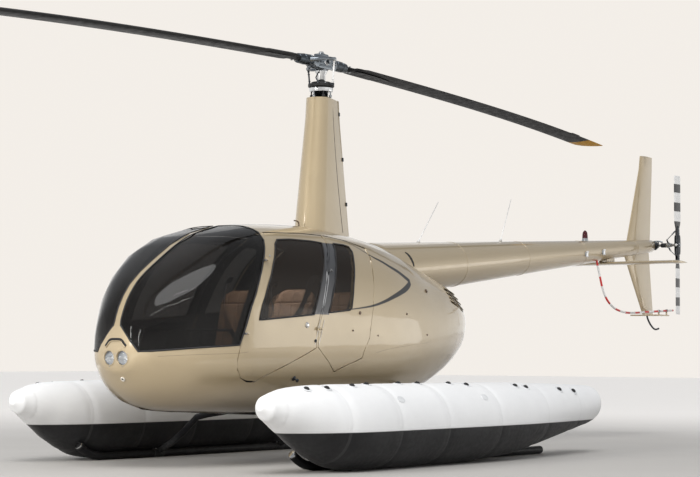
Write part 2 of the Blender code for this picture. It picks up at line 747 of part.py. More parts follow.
def guard_height(y):
    (y0, z0), (y1, z1) = guard_low
    return z0 + (z1 - z0) * (y - y0) / (y1 - y0)


def guard_pieces():
    start = boom_centre(4.56) - sqrt(boom_radius(4.56) ** 2 - 0.06 ** 2)
    points = [
        (0.060, 4.560, start + 0.02), (0.066, 4.560, start - 0.03), (0.100, 4.560, 1.640),
        (0.125, 4.580, 1.500), (0.140, 4.690, 1.368), (0.148, 4.860, 1.298),
    ]
    points += [(guard_x, y, guard_height(y)) for y in (guard_low[0][0], 5.60, guard_low[1][0])]
    obj = piece("tail_rotor_guard", tube(bmesh.new(), points, guard_radius, 8), "red_paint")
    boolean(obj, boom_guide, "DIFFERENCE")


# Tail rotor


def tail_rotor_pieces():
    hub = bmesh.new()
    gear_face = 0.075 + touch
    turned(
        hub, (0, tail_hub.y, tail_hub.z), (1, 0, 0),
        (
            (gear_face, 0.014), (0.255, 0.014), (0.262, 0.034), (0.268, 0.034), (0.275, 0.022),
            (0.318, 0.026), (0.336, 0.018),
        ), 16,
    )
    obj = piece("tail_rotor_hub", hub, "bare_steel", tail_hub)
    arms = bmesh.new()
    for sign in (1, -1):
        ends = [tail_hub + Vector((0, 0, sign * reach)) for reach in (0.012, tail_root)]
        tube(arms, ends, 0.017, 10)
    boolean(obj, guide("guide_tail_arms", arms), "UNION")
    section = ((-0.5, 0.0), (-0.35, 0.007), (0.1, 0.006), (0.5, 0.001), (0.1, -0.006), (-0.35, -0.007))
    for sign, word in ((1, "upper"), (-1, "lower")):
        rings = []
        for r, chord in (
            (tail_root + touch, 0.050), (0.190, 0.080), (0.250, tail_chord), (tail_radius, tail_chord),
        ):
            ring = []
            for s, w in section:
                ring.append(tail_hub + Vector((w * 1.2 + 0.10 * s * chord, sign * s * chord, sign * r)))
            rings.append(ring)
        piece("tail_rotor_blade_" + word, loft(bmesh.new(), rings), "white_paint", tail_hub)


# Floats, skid tubes and the cross tubes


def gear_pieces():
    for side, word in ((1, "left"), (-1, "right")):
        rings = []
        for y, radius, centre, inboard in float_stations:
            middle = (side * (float_x - inboard), y, centre)
            rings.append(circle(middle, radius, Vector((1, 0, 0)), Vector((0, 0, 1)), 20))
        piece("float_" + word, loft(bmesh.new(), rings), "float_fabric")
        x = side * skid_x
        points = ((x, -1.700, 0.122), (x, -1.620, 0.078), (x, -1.480, skid_radius), (x, 1.750, skid_radius))
        piece("skid_tube_" + word, tube(bmesh.new(), points, skid_radius, 20), "dark_trim")
    for word, y, belly in (("front", front_cross_y, 0.376), ("rear", rear_cross_y, 0.425)):
        half = (
            (0.0, belly + 0.010), (0.30, belly + 0.010), (0.50, belly - 0.020), (0.62, 0.330),
            (0.76, 0.208), (0.88, 0.125), (skid_x - 0.020, 0.050),
        )
        points = [(-x, y, z) for x, z in half[:0:-1]] + [(x, y, z) for x, z in half]
        obj = piece("cross_tube_" + word, tube(bmesh.new(), points, 0.026, 12), "dark_trim")
        brackets = bmesh.new()
        for x in (-0.11, 0.11):
            block(brackets, (x - 0.015, y - 0.020, belly + 0.010), (x + 0.015, y + 0.020, belly + 0.200))
        boolean(obj, guide("guide_brackets_" + word, brackets), "UNION")
        boolean(obj, hull_grown, "DIFFERENCE")
        for side, label in ((1, "left"), (-1, "right")):
            boolean(obj, skid_guides[label], "DIFFERENCE")


skid_guides = {}


def make_skid_guides():
    for side, word in ((1, "left"), (-1, "right")):
        x = side * skid_x
        bm = tube(bmesh.new(), ((x, -2.0, skid_radius), (x, 2.0, skid_radius)), skid_radius + touch, 20)
        skid_guides[word] = guide("guide_skid_" + word, bm)


# Mast, its fairing and the main rotor


def fairing_ring(z):
    front = -0.265 + 0.122 * (z - 1.79)
    rear = 0.384 - 0.147 * (z - 1.814)
    nose = 0.140 - 0.040 * (z - 1.9)
    tail = 0.022
    ring = []
    for i in range(9):
        a = pi * i / 8
        ring.append((nose * cos(a), front + nose - nose * sin(a), z))
    for i in range(4):
        a = pi + pi * i / 3
        ring.append((tail * cos(a), rear - tail - tail * sin(a), z))
    return ring


fairing_top = 2.935


def mast_pieces():
    shell = loft(bmesh.new(), [fairing_ring(1.70), fairing_ring(fairing_top)])
    fairing = piece("mast_fairing", shell, "champagne_paint")
    boolean(fairing, hull_grown, "DIFFERENCE")
    bore = turned(bmesh.new(), (0, 0, 0), (0, 0, 1), ((mast_foot - touch, 0.046), (3.1, 0.046)), 24)
    boolean(fairing, guide("guide_mast_bore", bore), "DIFFERENCE")
    lower = bmesh.new()
    washer(lower, (0, 0, 0), (0, 0, 1), 0.0455, 0.062, fairing_top + touch, 3.004)
    collar = piece("swashplate_fixed", lower, "bare_steel")
    disc = guide("guide_swash_disc", washer(bmesh.new(), (0, 0, 0), (0, 0, 1), 0.0455, 0.098, 3.000, 3.020))
    boolean(collar, disc, "UNION")
    rods = bmesh.new()
    for angle in (20, 140, 260):
        x, y = 0.084 * cos(radians(angle)), 0.084 * sin(radians(angle))
        tube(rods, ((x, y, fairing_top + 0.004), (x, y, 3.010)), 0.007, 8)
    boolean(collar, guide("guide_swash_rods", rods), "UNION")


def rotor_piece(name, bm, coat):
    """Rotor pieces are drawn with the blades along Y, then turned about the mast."""
    bm.transform(Matrix.Rotation(rotor_turn, 4, "Z"))
    return piece(name, bm, coat, (0, 0, hub_height), (0, 0, rotor_turn))


def blade_height(r, end):
    droop = 0.0265 * r + 0.00087 * r ** 3
    return hub_height - droop + rotor_teeter * end * r


def blade_ring(r, lead, trail, thickness, end):
    """Section of a blade. lead and trail are its edges' distances from the span line."""
    upper = ((0.05, 0.55), (0.28, 1.0), (0.65, 0.62), (1.0, 0.06))
    ring = []
    for s, w in ((0.0, 0.0),) + upper + tuple((s, -w) for s, w in upper[::-1]):
        across = lead + (trail - lead) * s
        x = -across * cos(blade_pitch)
        z = blade_height(r, end) + across * sin(blade_pitch) + thickness / 2 * w
        ring.append((end * x * -1, end * r, z))
    return ring


def rotor_pieces():
    mast = bmesh.new()
    profile = ((mast_foot, mast_radius), (3.125, mast_radius), (3.150, 0.050), (3.175 - touch, 0.050))
    turned(mast, (0, 0, 0), (0, 0, 1), profile, 24)
    rotor_piece("rotor_mast", mast, "bare_steel")
    hub = bmesh.new()
    block(hub, (-0.052, -0.165, 3.175), (0.052, 0.165, 3.280))
    obj = rotor_piece("rotor_hub", hub, "bare_steel")
    extra = bmesh.new()
    tube(extra, ((-0.088, 0, hub_height), (0.088, 0, hub_height)), 0.026, 16)
    profile = ((3.26, 0.034), (3.305, 0.034), (3.312, 0.028), (3.320, 0.028))
    nut = turned(bmesh.new(), (0, 0, 0), (0, 0, 1), profile, 12)
    for name, bm in (("guide_teeter_bolt", extra), ("guide_hub_nut", nut)):
        bm.transform(Matrix.Rotation(rotor_turn, 4, "Z"))
        boolean(obj, guide(name, bm), "UNION")
    for end, word in ((1, "aft"), (-1, "forward")):
        points = [(0, end * r, blade_height(r, end)) for r in (0.10, 0.19, 0.30)]
        points += [(0, end * r, blade_height(spindle_end, end)) for r in (spindle_end - 0.01, spindle_end)]
        spindle = tube(bmesh.new(), points, (0.034, 0.044, 0.044, 0.038, 0.038), 16)
        spindle.transform(Matrix.Rotation(rotor_turn, 4, "Z"))
        boolean(obj, guide("guide_spindle_" + word, spindle), "UNION")
        z = blade_height(0.24, end)
        tip = horn_height[word]
        points = (
            (0, end * 0.235, z), (end * -0.100, end * 0.160, z),
            (end * -horn_x, end * 0.050, tip), (end * -horn_x, end * -0.012, tip),
        )
        horn = tube(bmesh.new(), points, (0.020, 0.017, 0.014, 0.014), 10)
        horn.transform(Matrix.Rotation(rotor_turn, 4, "Z"))
        boolean(obj, guide("guide_horn_" + word, horn), "UNION")
    for end, word in ((1, "aft"), (-1, "forward")):
        half = blade_chord / 2
        rings = []
        for r, lead, trail, thickness in (
            (spindle_end + touch, -0.040, 0.040, 0.050), (0.40, -0.060, 0.060, 0.044),
            (0.52, -half, half, 0.034), (1.6, -half, half, 0.031), (2.8, -half, half, 0.031),
            (3.8, -half, half, 0.031), (4.88, -half, half, 0.030), (rotor_radius, 0.030, half, 0.012),
        ):
            rings.append(blade_ring(r, lead, trail, thickness, end))
        rotor_piece("rotor_blade_" + word, loft(bmesh.new(), rings), "black_paint")
    plate = washer(bmesh.new(), (0, 0, 0), (0, 0, 1), mast_radius + touch, 0.108, 3.026, 3.052)
    obj = rotor_piece("swashplate_turning", plate, "black_paint")
    for end, word in ((1, "aft"), (-1, "forward")):
        top = Vector((end * -horn_x, end * 0.006, horn_height[word] - 0.014 - touch))
        foot = Vector((end * -0.118, end * 0.006, 3.039))
        eye = Vector((0, 0, 0.02))
        link = tube(bmesh.new(), (foot, foot + eye, top - eye, top), 0.0075, 8)
        link.transform(Matrix.Rotation(rotor_turn, 4, "Z"))
        low, high = sorted((end * -0.095, end * -0.130))
        lug = block(bmesh.new(), (low, end * 0.006 - 0.014, 3.030), (high, end * 0.006 + 0.014, 3.046))
        lug.transform(Matrix.Rotation(rotor_turn, 4, "Z"))
        boolean(obj, guide("guide_lug_" + word, lug), "UNION")
        boolean(obj, guide("guide_link_" + word, link), "UNION")


spindle_end = 0.345
horn_x = 0.132
horn_height = {"aft": 3.188, "forward": 3.248}


# Cabin: floor, firewall, seats and controls, and the engine behind


# Seat boxes: place, front, rear, top
seat_boxes = (("front", -1.250, -0.720, 0.680), ("rear", -0.440, -0.020, 0.700))


def cabin_pieces():
    for name, low, high, coat in (
        ("cabin_floor", (-1, -2.10, 0.440), (1, firewall_y - touch, 0.470), "dark_trim"),
        ("firewall", (-1, firewall_y, 0.440), (1, firewall_y + 0.030, far), "dark_trim"),
    ):
        obj = piece(name, hull_body(wall + touch), coat)
        slab = guide("guide_" + name, block(bmesh.new(), low, high))
        boolean(obj, slab, "INTERSECT")
        if name == "cabin_floor":
            for side, word in ((1, "left"), (-1, "right")):
                for place, front, rear, top in seat_boxes:
                    low, high = sorted((side * 0.050, side * 0.425))
                    box = block(bmesh.new(), (low, front, 0.455), (high, rear, top))
                    boolean(slab, guide("guide_seat_box_" + place + "_" + word, box), "UNION")
    floor_z = 0.470 + touch
    for side, word in ((1, "left"), (-1, "right")):
        for place, y, front, base, pan, top, lean in (
            ("front", -0.780, -1.260, 0.680 + touch, 0.790, 1.400, 0.14),
            ("rear", -0.085, -0.450, 0.700 + touch, 0.800, 1.380, 0.02),
        ):
            low, high = sorted((side * 0.045, side * 0.500))
            outline = [
                (front, base), (y + 0.085, base), (y + 0.085 + lean, top), (y + 0.030 + lean, top),
                (y - 0.005, pan), (front, pan),
            ]
            piece("seat_" + place + "_" + word, prism(bmesh.new(), outline, "x", low, high), "brown_leather")
    console = bmesh.new()
    outline = [
        (-1.960, floor_z), (-1.700, floor_z), (-1.760, 0.860), (-1.800, 1.050), (-1.990, 0.990),
        (-2.030, 0.860),
    ]
    prism(console, outline, "x", -0.125, 0.125)
    piece("console", console, "dark_trim")
    bar = block(bmesh.new(), (-0.29, -1.600, floor_z), (0.29, -1.585, 0.500))
    obj = piece("pedals", bar, "dark_trim")
    for i, x in enumerate((-0.26, -0.17, 0.17, 0.26)):
        plate = block(bmesh.new(), (x - 0.030, -1.600, 0.480), (x + 0.030, -1.588, 0.600))
        boolean(obj, guide("guide_pedal_" + str(i), plate), "UNION")
    sticks = bmesh.new()
    tube(sticks, ((0, -1.420, floor_z), (0, -1.420, 0.520), (0, -1.440, 0.700), (0, -1.500, 1.005)), 0.014, 8)
    obj = piece("cyclic_stick", sticks, "dark_trim")
    grips = ((0.36, 0.930), (0.30, 1.010), (-0.30, 1.010), (-0.36, 0.930))
    bar = tube(bmesh.new(), [(x, -1.500, z) for x, z in grips], 0.011, 8)
    boolean(obj, guide("guide_cyclic_bar", bar), "UNION")
    engine = block(bmesh.new(), (-0.34, firewall_y + 0.030 + touch, 0.640), (0.34, 0.900, 1.080))
    piece("engine_block", engine, "dark_trim")
    pipe = bmesh.new()
    bends = ((0.84, 0.640 - touch), (0.84, 0.58), (0.88, 0.50), (1.00, 0.44))
    tube(pipe, [(0.19, y, z) for y, z in bends], 0.030, 12)
    piece("exhaust_pipe", pipe, "bare_steel")


def lamp_pieces():
    bracket = block(bmesh.new(), (-lamp_x, -2.358, lamp_z - 0.02), (lamp_x, -2.345, lamp_z + 0.02))
    obj = piece("landing_lamps", bracket, "lamp_glass")
    profile = ((-0.046, lamp_radius - 0.004), (-0.040, lamp_radius), (0.0, lamp_radius), (0.03, 0.03))
    for side, word in ((1, "left"), (-1, "right")):
        lamp = turned(bmesh.new(), (side * lamp_x, -2.36, lamp_z), (0, 1, 0), profile, 24)
        boolean(obj, guide("guide_lamp_" + word, lamp), "UNION")


make_skid_guides()
shell_pieces()
windscreen_pieces()
door_pieces()
tail_pieces()
tail_rotor_pieces()
gear_pieces()
mast_pieces()
rotor_pieces()
cabin_pieces()
lamp_pieces()

# The whole length is centred on the empty
bpy.context.view_layer.update()
graph = bpy.context.evaluated_depsgraph_get()
reach = []
for obj in bpy.data.objects:
    if obj.type == "MESH" and not obj.hide_render:
        shape = obj.evaluated_get(graph)
        reach += [(shape.matrix_world @ v.co).y for v in shape.data.vertices]
airframe.location.y = -(min(reach) + max(reach)) / 2
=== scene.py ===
import bpy
import json
from math import cos, exp, pi, radians, sin, tan
from mathutils import Matrix, Vector
from mathutils.bvhtree import BVHTree

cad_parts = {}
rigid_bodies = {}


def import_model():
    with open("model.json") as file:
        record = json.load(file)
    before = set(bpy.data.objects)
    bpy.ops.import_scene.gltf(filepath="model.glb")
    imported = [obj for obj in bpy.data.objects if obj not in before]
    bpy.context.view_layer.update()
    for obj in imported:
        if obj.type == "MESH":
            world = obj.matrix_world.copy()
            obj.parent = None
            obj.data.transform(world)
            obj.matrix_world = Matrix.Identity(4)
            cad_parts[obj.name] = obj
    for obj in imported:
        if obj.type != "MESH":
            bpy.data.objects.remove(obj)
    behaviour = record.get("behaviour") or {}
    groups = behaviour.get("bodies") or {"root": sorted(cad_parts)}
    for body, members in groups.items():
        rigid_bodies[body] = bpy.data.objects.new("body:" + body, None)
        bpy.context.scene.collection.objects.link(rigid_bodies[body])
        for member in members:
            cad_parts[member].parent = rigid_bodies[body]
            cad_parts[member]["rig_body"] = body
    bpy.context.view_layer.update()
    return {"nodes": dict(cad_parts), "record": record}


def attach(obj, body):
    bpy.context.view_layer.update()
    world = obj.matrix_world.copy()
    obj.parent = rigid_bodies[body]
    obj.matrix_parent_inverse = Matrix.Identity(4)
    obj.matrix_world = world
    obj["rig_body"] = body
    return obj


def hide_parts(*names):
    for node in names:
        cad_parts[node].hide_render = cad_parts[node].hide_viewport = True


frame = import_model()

nodes = frame["nodes"]
# every table below is measured from the mast's foot
mastY = frame["record"]["mounts"][0]["pos_m"][1]
leftRight = ((1, "left"), (-1, "right"))
foreAft = ((1, "aft"), (-1, "forward"))
outIn = ((1, "Out"), (-1, "In"))
# a rounded rectangle's corners: signs of x and y, first angle of the arc
corners = ((1, 1, 0), (-1, 1, 90), (-1, -1, 180), (1, -1, 270))


def world(x, y, z):
    return Vector((x, y + mastY, z))


# Camera, floor and lights

camera = {
    "place": (9.3313, -12.3896, 0.8161),
    "yaw": 36.087,
    "pitch": 3.563,
    "roll": 0.273,
    "lens": 97.69,
    "sensor": 36,
    "reach": 200,
}
studio = {
    "backdrop": (0.9, 0.858, 0.808),
    # painted shade: the floor's colour under the aircraft
    "floorShadedNear": (0.43, 0.415, 0.394),
    "floorFar": (0.93, 0.897, 0.858),
    "floorSize": 120,
    # painted shade: the floor is dark near the aircraft, where its shadow falls, and turns pale between these
    # distances
    "floorBlend": (2.5, 14.0),
    # the air's own light: bright low down, dimmer overhead
    "horizon": (1.0, 0.99, 0.97),
    "overhead": (0.4, 0.41, 0.43),
    "lampColour": (1.0, 0.985, 0.96),
    "sun": {"place": (3.5, -4.0, 9.0), "energy": 1.65, "angle": 35},
    # these two leave no reflection of their own
    "matt": ("keyBox", "noseBox"),
    # name, place, aim, width, height, power
    "softboxes": (
        ("keyBox", (6.0, -7.0, 8.5), (0, 0, 1.0), 7.0, 4.0, 250),
        ("stripBox", (9.5, 12.0, 1.6), (0, 0.5, 1.2), 9.0, 2.0, 55),
        ("noseBox", (-2.0, -12.0, 5.5), (0, -1.5, 1.0), 5.0, 3.0, 900),
        ("tubeHigh", (6.0, -7.0, 9.2), (0, 0, 1.5), 3.4, 0.14, 16),
        ("tubeMiddle", (7.4, -7.6, 7.4), (0, 0, 1.5), 3.0, 0.12, 13),
        ("tubeLow", (4.4, -8.6, 7.0), (0, 0, 1.5), 2.6, 0.12, 12),
        ("streakLeft", (-5.0, -15.0, 4.0), (0, -1.5, 1.5), 0.5, 5.0, 150),
        ("streakRight", (1.0, -17.5, 4.0), (0, -1.5, 1.5), 0.5, 5.0, 150),
        ("backBox", (-6.0, 8.0, 6.0), (0, 2.0, 1.2), 6.0, 3.0, 25),
    ),
    # a soft light under the cabin's roof, so that the seats show through the tint
    "cabin": {"place": (0.0, -0.95, 1.72), "size": (0.8, 0.5), "power": 13},
}


def aimed(place, aim):
    return (Vector(place) - Vector(aim)).to_track_quat("Z", "Y").to_euler()


def makeCamera():
    yaw, pitch, roll = (radians(camera[key]) for key in ("yaw", "pitch", "roll"))
    ahead = Vector((-sin(yaw) * cos(pitch), cos(yaw) * cos(pitch), sin(pitch)))
    right = Vector((cos(yaw), sin(yaw), 0))
    up = right.cross(ahead)
    turnedRight = cos(roll) * right + sin(roll) * up
    turnedUp = cos(roll) * up - sin(roll) * right
    turn = Matrix((turnedRight, turnedUp, -ahead)).transposed().to_euler()
    bpy.ops.object.camera_add(location=world(*camera["place"]), rotation=turn)
    made = bpy.context.object
    made.name = "photoCamera"
    made.data.lens = camera["lens"]
    made.data.sensor_width = camera["sensor"]
    made.data.clip_end = camera["reach"]
    bpy.context.scene.camera = made


def addPanelLight(name, place, turn, size, power):
    bpy.ops.object.light_add(type="AREA", location=world(*place), rotation=turn)
    lamp = bpy.context.object
    lamp.name = name
    lamp.data.shape = "RECTANGLE"
    lamp.data.size, lamp.data.size_y = size
    lamp.data.energy = power
    return lamp


def makeStudio():
    for name, place, aim, width, height, power in studio["softboxes"]:
        lamp = addPanelLight(name, place, aimed(place, aim), (width, height), power)
        lamp.data.color = studio["lampColour"]
        lamp.visible_glossy = name not in studio["matt"]
    sun = studio["sun"]
    bpy.ops.object.light_add(type="SUN", location=world(*sun["place"]), rotation=aimed(sun["place"], (0, 0, 0)))
    bpy.context.object.name = "softSun"
    bpy.context.object.data.energy = sun["energy"]
    bpy.context.object.data.angle = radians(sun["angle"])
    cabin = studio["cabin"]
    lamp = addPanelLight("cabinBox", cabin["place"], (0, 0, 0), cabin["size"], cabin["power"])
    lamp.visible_camera = lamp.visible_glossy = False
    sky = bpy.data.worlds.new("studioAir")
    sky.use_nodes = True
    rise = axisValue(sky, addNode(sky, "TexCoord", {}).outputs["Generated"], 2)
    glow = blendColour(sky, spread(sky, rise, 0.02, 0.4, smooth=True), studio["horizon"], studio["overhead"])
    behind = addNode(sky, "LightPath", {}).outputs["Is Camera Ray"]
    air = sky.node_tree.nodes["Background"]
    sky.node_tree.links.new(blendColour(sky, behind, glow, studio["backdrop"]), air.inputs["Color"])
    bpy.context.scene.world = sky
    bpy.context.scene.view_settings.view_transform = "Standard"
    bpy.ops.mesh.primitive_plane_add(size=studio["floorSize"], location=(0, 0, 0))
    ground = bpy.context.object
    ground.name = "studioFloor"
    coat = newMaterial("floorWithPaintedShade", studio["floorShadedNear"], 0.6)
    place = objectPlace(coat, 1.0)
    setRange(coat, "Roughness", noise(coat, place, 0.6, 4), 0.5, 0.7)
    away = addNode(coat, "VectorMath", {0: place}, {"operation": "LENGTH"}).outputs["Value"]
    # painted shade on the floor under the aircraft, fading out with distance
    share = spread(coat, away, *studio["floorBlend"], smooth=True)
    feed(coat, "Base Color", blendColour(coat, share, studio["floorShadedNear"], studio["floorFar"]))
    ground.data.materials.append(coat)


# Material helpers


def newMaterial(name, colour, roughness, sockets=None):
    material = bpy.data.materials.new(name)
    material.use_nodes = True
    shader = material.node_tree.nodes["Principled BSDF"]
    shader.inputs["Base Color"].default_value = (*colour, 1)
    shader.inputs["Roughness"].default_value = roughness
    for socket, value in (sockets or {}).items():
        shader.inputs[socket].default_value = value
    return material


def addNode(material, kind, inputs, settings=None):
    node = material.node_tree.nodes.new("ShaderNode" + kind)
    for key, value in (settings or {}).items():
        setattr(node, key, value)
    for socket, value in inputs.items():
        if isinstance(value, bpy.types.NodeSocket):
            material.node_tree.links.new(value, node.inputs[socket])
        else:
            node.inputs[socket].default_value = value
    return node


def shaderOf(material):
    return material.node_tree.nodes["Principled BSDF"]


def feed(material, socket, value):
    material.node_tree.links.new(value, shaderOf(material).inputs[socket])


def objectPlace(material, scale, at=(0, 0, 0)):
    coords = addNode(material, "TexCoord", {})
    stretch = scale if isinstance(scale, tuple) else (scale, scale, scale)
    mapping = addNode(material, "Mapping", {
        "Vector": coords.outputs["Object"], "Scale": stretch, "Location": at,
    })
    return mapping.outputs["Vector"]


def uvPlace(material, scale):
    coords = addNode(material, "TexCoord", {})
    mapping = addNode(material, "Mapping", {"Vector": coords.outputs["UV"], "Scale": scale})
    return mapping.outputs["Vector"]


def axisValue(material, place, axis):
    return addNode(material, "SeparateXYZ", {"Vector": place}).outputs[axis]


def noise(material, place, scale, detail=3, roughness=0.5):
    made = addNode(material, "TexNoise", {
        "Vector": place, "Scale": scale, "Detail": detail, "Roughness": roughness,
    })
    return made.outputs["Fac"]


def wave(material, place, scale, direction, distortion=0.0):
    inputs = {"Vector": place, "Scale": scale, "Distortion": distortion}
    return addNode(material, "TexWave", inputs, {"bands_direction": direction}).outputs["Fac"]


def calc(material, operation, first, second=0.0):
    return addNode(material, "Math", {0: first, 1: second}, {"operation": operation}).outputs[0]


def spread(material, value, low, high, toLow=0.0, toHigh=1.0, smooth=False):
    made = addNode(
        material, "MapRange", {0: value, 1: low, 2: high, 3: toLow, 4: toHigh},
        {"interpolation_type": "SMOOTHSTEP" if smooth else "LINEAR"},
    )
    return made.outputs[0]


def setRange(material, socket, value, low, high):
    feed(material, socket, spread(material, value, 0.3, 0.7, low, high))


def blendColour(material, share, first, second):
    mix = addNode(material, "Mix", {0: share}, {"data_type": "RGBA"})
    for slot, colour in ((6, first), (7, second)):
        if isinstance(colour, bpy.types.NodeSocket):
            material.node_tree.links.new(colour, mix.inputs[slot])
        else:
            mix.inputs[slot].default_value = (*colour, 1)
    return mix.outputs[2]


def addBump(material, height, strength, distance=0.001, under=None):
    inputs = {"Height": height, "Strength": strength, "Distance": distance}
    if under is not None:
        inputs["Normal"] = under
    made = addNode(material, "Bump", inputs)
    feed(material, "Normal", made.outputs[0])
    return made.outputs[0]


def curveValue(material, value, points):
    # a smooth curve through (value, result) pairs
    lowIn, highIn = points[0][0], points[-1][0]
    results = [result for _, result in points]
    lowOut, highOut = min(results), max(results) + 1e-6
    share = spread(material, value, lowIn, highIn)
    node = addNode(material, "FloatCurve", {1: share})
    curve = node.mapping.curves[0]
    while len(curve.points) < len(points):
        curve.points.new(0.5, 0.5)
    for point, (given, result) in zip(curve.points, points):
        point.location = ((given - lowIn) / (highIn - lowIn), (result - lowOut) / (highOut - lowOut))
    node.mapping.update()
    return spread(material, node.outputs[0], 0.0, 1.0, lowOut, highOut)


def bandMask(material, along, across, table, soft=0.003):
    # 1 inside a band given by rows of (along, middle, half width), 0 outside
    middle = curveValue(material, along, [(a, m) for a, m, _ in table])
    half = curveValue(material, along, [(a, h) for a, _, h in table])
    off = calc(material, "ABSOLUTE", calc(material, "SUBTRACT", across, middle))
    over = calc(material, "SUBTRACT", off, half)
    inside = spread(material, over, -soft, soft, 1.0, 0.0)
    after = spread(material, along, table[0][0] - soft, table[0][0] + soft)
    before = spread(material, along, table[-1][0] - soft, table[-1][0] + soft, 1.0, 0.0)
    return calc(material, "MULTIPLY", inside, calc(material, "MULTIPLY", after, before))


# Body paint: champagne metallic with a clear coat, dark stripe, dark door pillars and seam lines

bodyPaint = {
    "light": (0.47, 0.376, 0.238),
    "deep": (0.42, 0.33, 0.2),
    "metallic": 0.42,
    # painted shade under the hull, full at the first height and gone at the second
    "paintedUnderShade": (0.15, 0.112, 0.066),
    "paintedUnderShadeHeights": (0.4, 0.66),
    "stripe": (0.008, 0.008, 0.009),
    "pillar": (0.012, 0.013, 0.016),
    # (y, z, half width)
    "lowerStripe": (
        (-0.45, 1.184, 0.004), (-0.29, 1.2, 0.006), (-0.15, 1.218, 0.008), (-0.006, 1.248, 0.011),
        (0.15, 1.292, 0.016), (0.33, 1.348, 0.022), (0.46, 1.395, 0.024), (0.53, 1.432, 0.02),
    ),
    "upperStripe": (
        (-0.24, 1.738, 0.003), (-0.122, 1.698, 0.004), (-0.03, 1.653, 0.006), (0.055, 1.613, 0.008),
        (0.159, 1.583, 0.011), (0.261, 1.547, 0.014), (0.353, 1.514, 0.018), (0.438, 1.478, 0.022),
        (0.53, 1.432, 0.022),
    ),
    # (z, y, half width)
    "pillars": (
        (1.136, -0.832, 0.104), (1.18, -0.814, 0.102), (1.37, -0.713, 0.094), (1.56, -0.607, 0.084),
        (1.702, -0.516, 0.086),
    ),
    "sillSeam": (
        (-2.31, 0.812, 0.001), (-2.071, 0.827, 0.001), (-1.779, 0.838, 0.001), (-1.69, 0.848, 0.001),
    ),
    "lowSeam": (
        (-0.107, 0.847, 0.0012), (0.089, 0.88, 0.0012), (0.349, 0.906, 0.0012), (0.7, 0.935, 0.0012),
        (1.3, 1.0, 0.0012),
    ),
}


def makeBodyPaint(name, marked):
    paint = newMaterial(name, bodyPaint["light"], 0.32, {
        "Metallic": bodyPaint["metallic"], "Coat Weight": 1.0, "Coat Roughness": 0.035, "Coat IOR": 1.55,
    })
    place = objectPlace(paint, 1.0)
    cloud = noise(paint, place, 1.3, 3)
    colour = blendColour(paint, cloud, bodyPaint["light"], bodyPaint["deep"])
    # painted shade: the colour darkens towards the bottom of the hull, where the belly lies in shadow
    paintedUnderShade = spread(paint, axisValue(paint, place, 2), *bodyPaint["paintedUnderShadeHeights"], 1.0, 0.0, smooth=True)
    colour = blendColour(paint, calc(paint, "MULTIPLY", paintedUnderShade, 0.55), colour, bodyPaint["paintedUnderShade"])
    flake = addNode(paint, "TexVoronoi", {"Vector": place, "Scale": 1400.0})
    sparkle = axisValue(paint, flake.outputs["Color"], 0)
    colour = blendColour(paint, spread(paint, sparkle, 0.8, 1.0, 0.0, 0.22), colour, (0.78, 0.7, 0.53))
    if marked:
        y = axisValue(paint, objectPlace(paint, 1.0, (0, -mastY, 0)), 1)
        z = axisValue(paint, place, 2)
        lower = bandMask(paint, y, z, bodyPaint["lowerStripe"])
        upper = bandMask(paint, y, z, bodyPaint["upperStripe"])
        stripe = calc(paint, "MAXIMUM", lower, upper)
        pillar = bandMask(paint, z, y, bodyPaint["pillars"])
        line = bandMask(paint, y, z, bodyPaint["lowSeam"], 0.0008)
        line = calc(paint, "MAXIMUM", line, bandMask(paint, y, z, bodyPaint["sillSeam"], 0.0008))
        colour = blendColour(paint, pillar, colour, bodyPaint["pillar"])
        colour = blendColour(paint, stripe, colour, bodyPaint["stripe"])
        colour = blendColour(paint, calc(paint, "MULTIPLY", line, 0.7), colour, (0.05, 0.04, 0.03))
        dark = calc(paint, "MAXIMUM", stripe, pillar)
        feed(paint, "Metallic", spread(paint, dark, 0.0, 1.0, bodyPaint["metallic"], 0.0))
        feed(paint, "Coat Weight", spread(paint, stripe, 0.0, 1.0, 1.0, 0.15))
    feed(paint, "Base Color", colour)
    setRange(paint, "Roughness", noise(paint, place, 5.0, 5), 0.28, 0.38)
    orangePeel = noise(paint, place, 60.0, 2)
    soft = addBump(paint, orangePeel, 0.03, 0.002)
    addBump(paint, sparkle, 0.035, 0.0004, soft)
    return paint


def makeGlazing(name, colour, clear, roughness):
    glazing = newMaterial(name, colour, roughness, {"Specular IOR Level": 0.26, "IOR": 1.49})
    place = objectPlace(glazing, 1.0)
    smear = noise(glazing, place, 3.0, 5, 0.6)
    feed(glazing, "Alpha", spread(glazing, smear, 0.3, 0.7, clear - 0.02, clear + 0.03))
    setRange(glazing, "Roughness", noise(glazing, place, 40.0, 4), roughness, roughness + 0.03)
    addBump(glazing, noise(glazing, place, 2.2, 2), 0.03, 0.004)
    return glazing


def makeLens():
    lens = newMaterial("lampLensGlass", (0.8, 0.84, 0.88), 0.04, {"Specular IOR Level": 0.6})
    place = objectPlace(lens, 1.0)
    feed(lens, "Alpha", spread(lens, noise(lens, place, 30.0, 2), 0.3, 0.7, 0.1, 0.16))
    addBump(lens, wave(lens, place, 55.0, "X"), 0.4, 0.001)
    setRange(lens, "Roughness", noise(lens, place, 60.0, 3), 0.03, 0.08)
    return lens


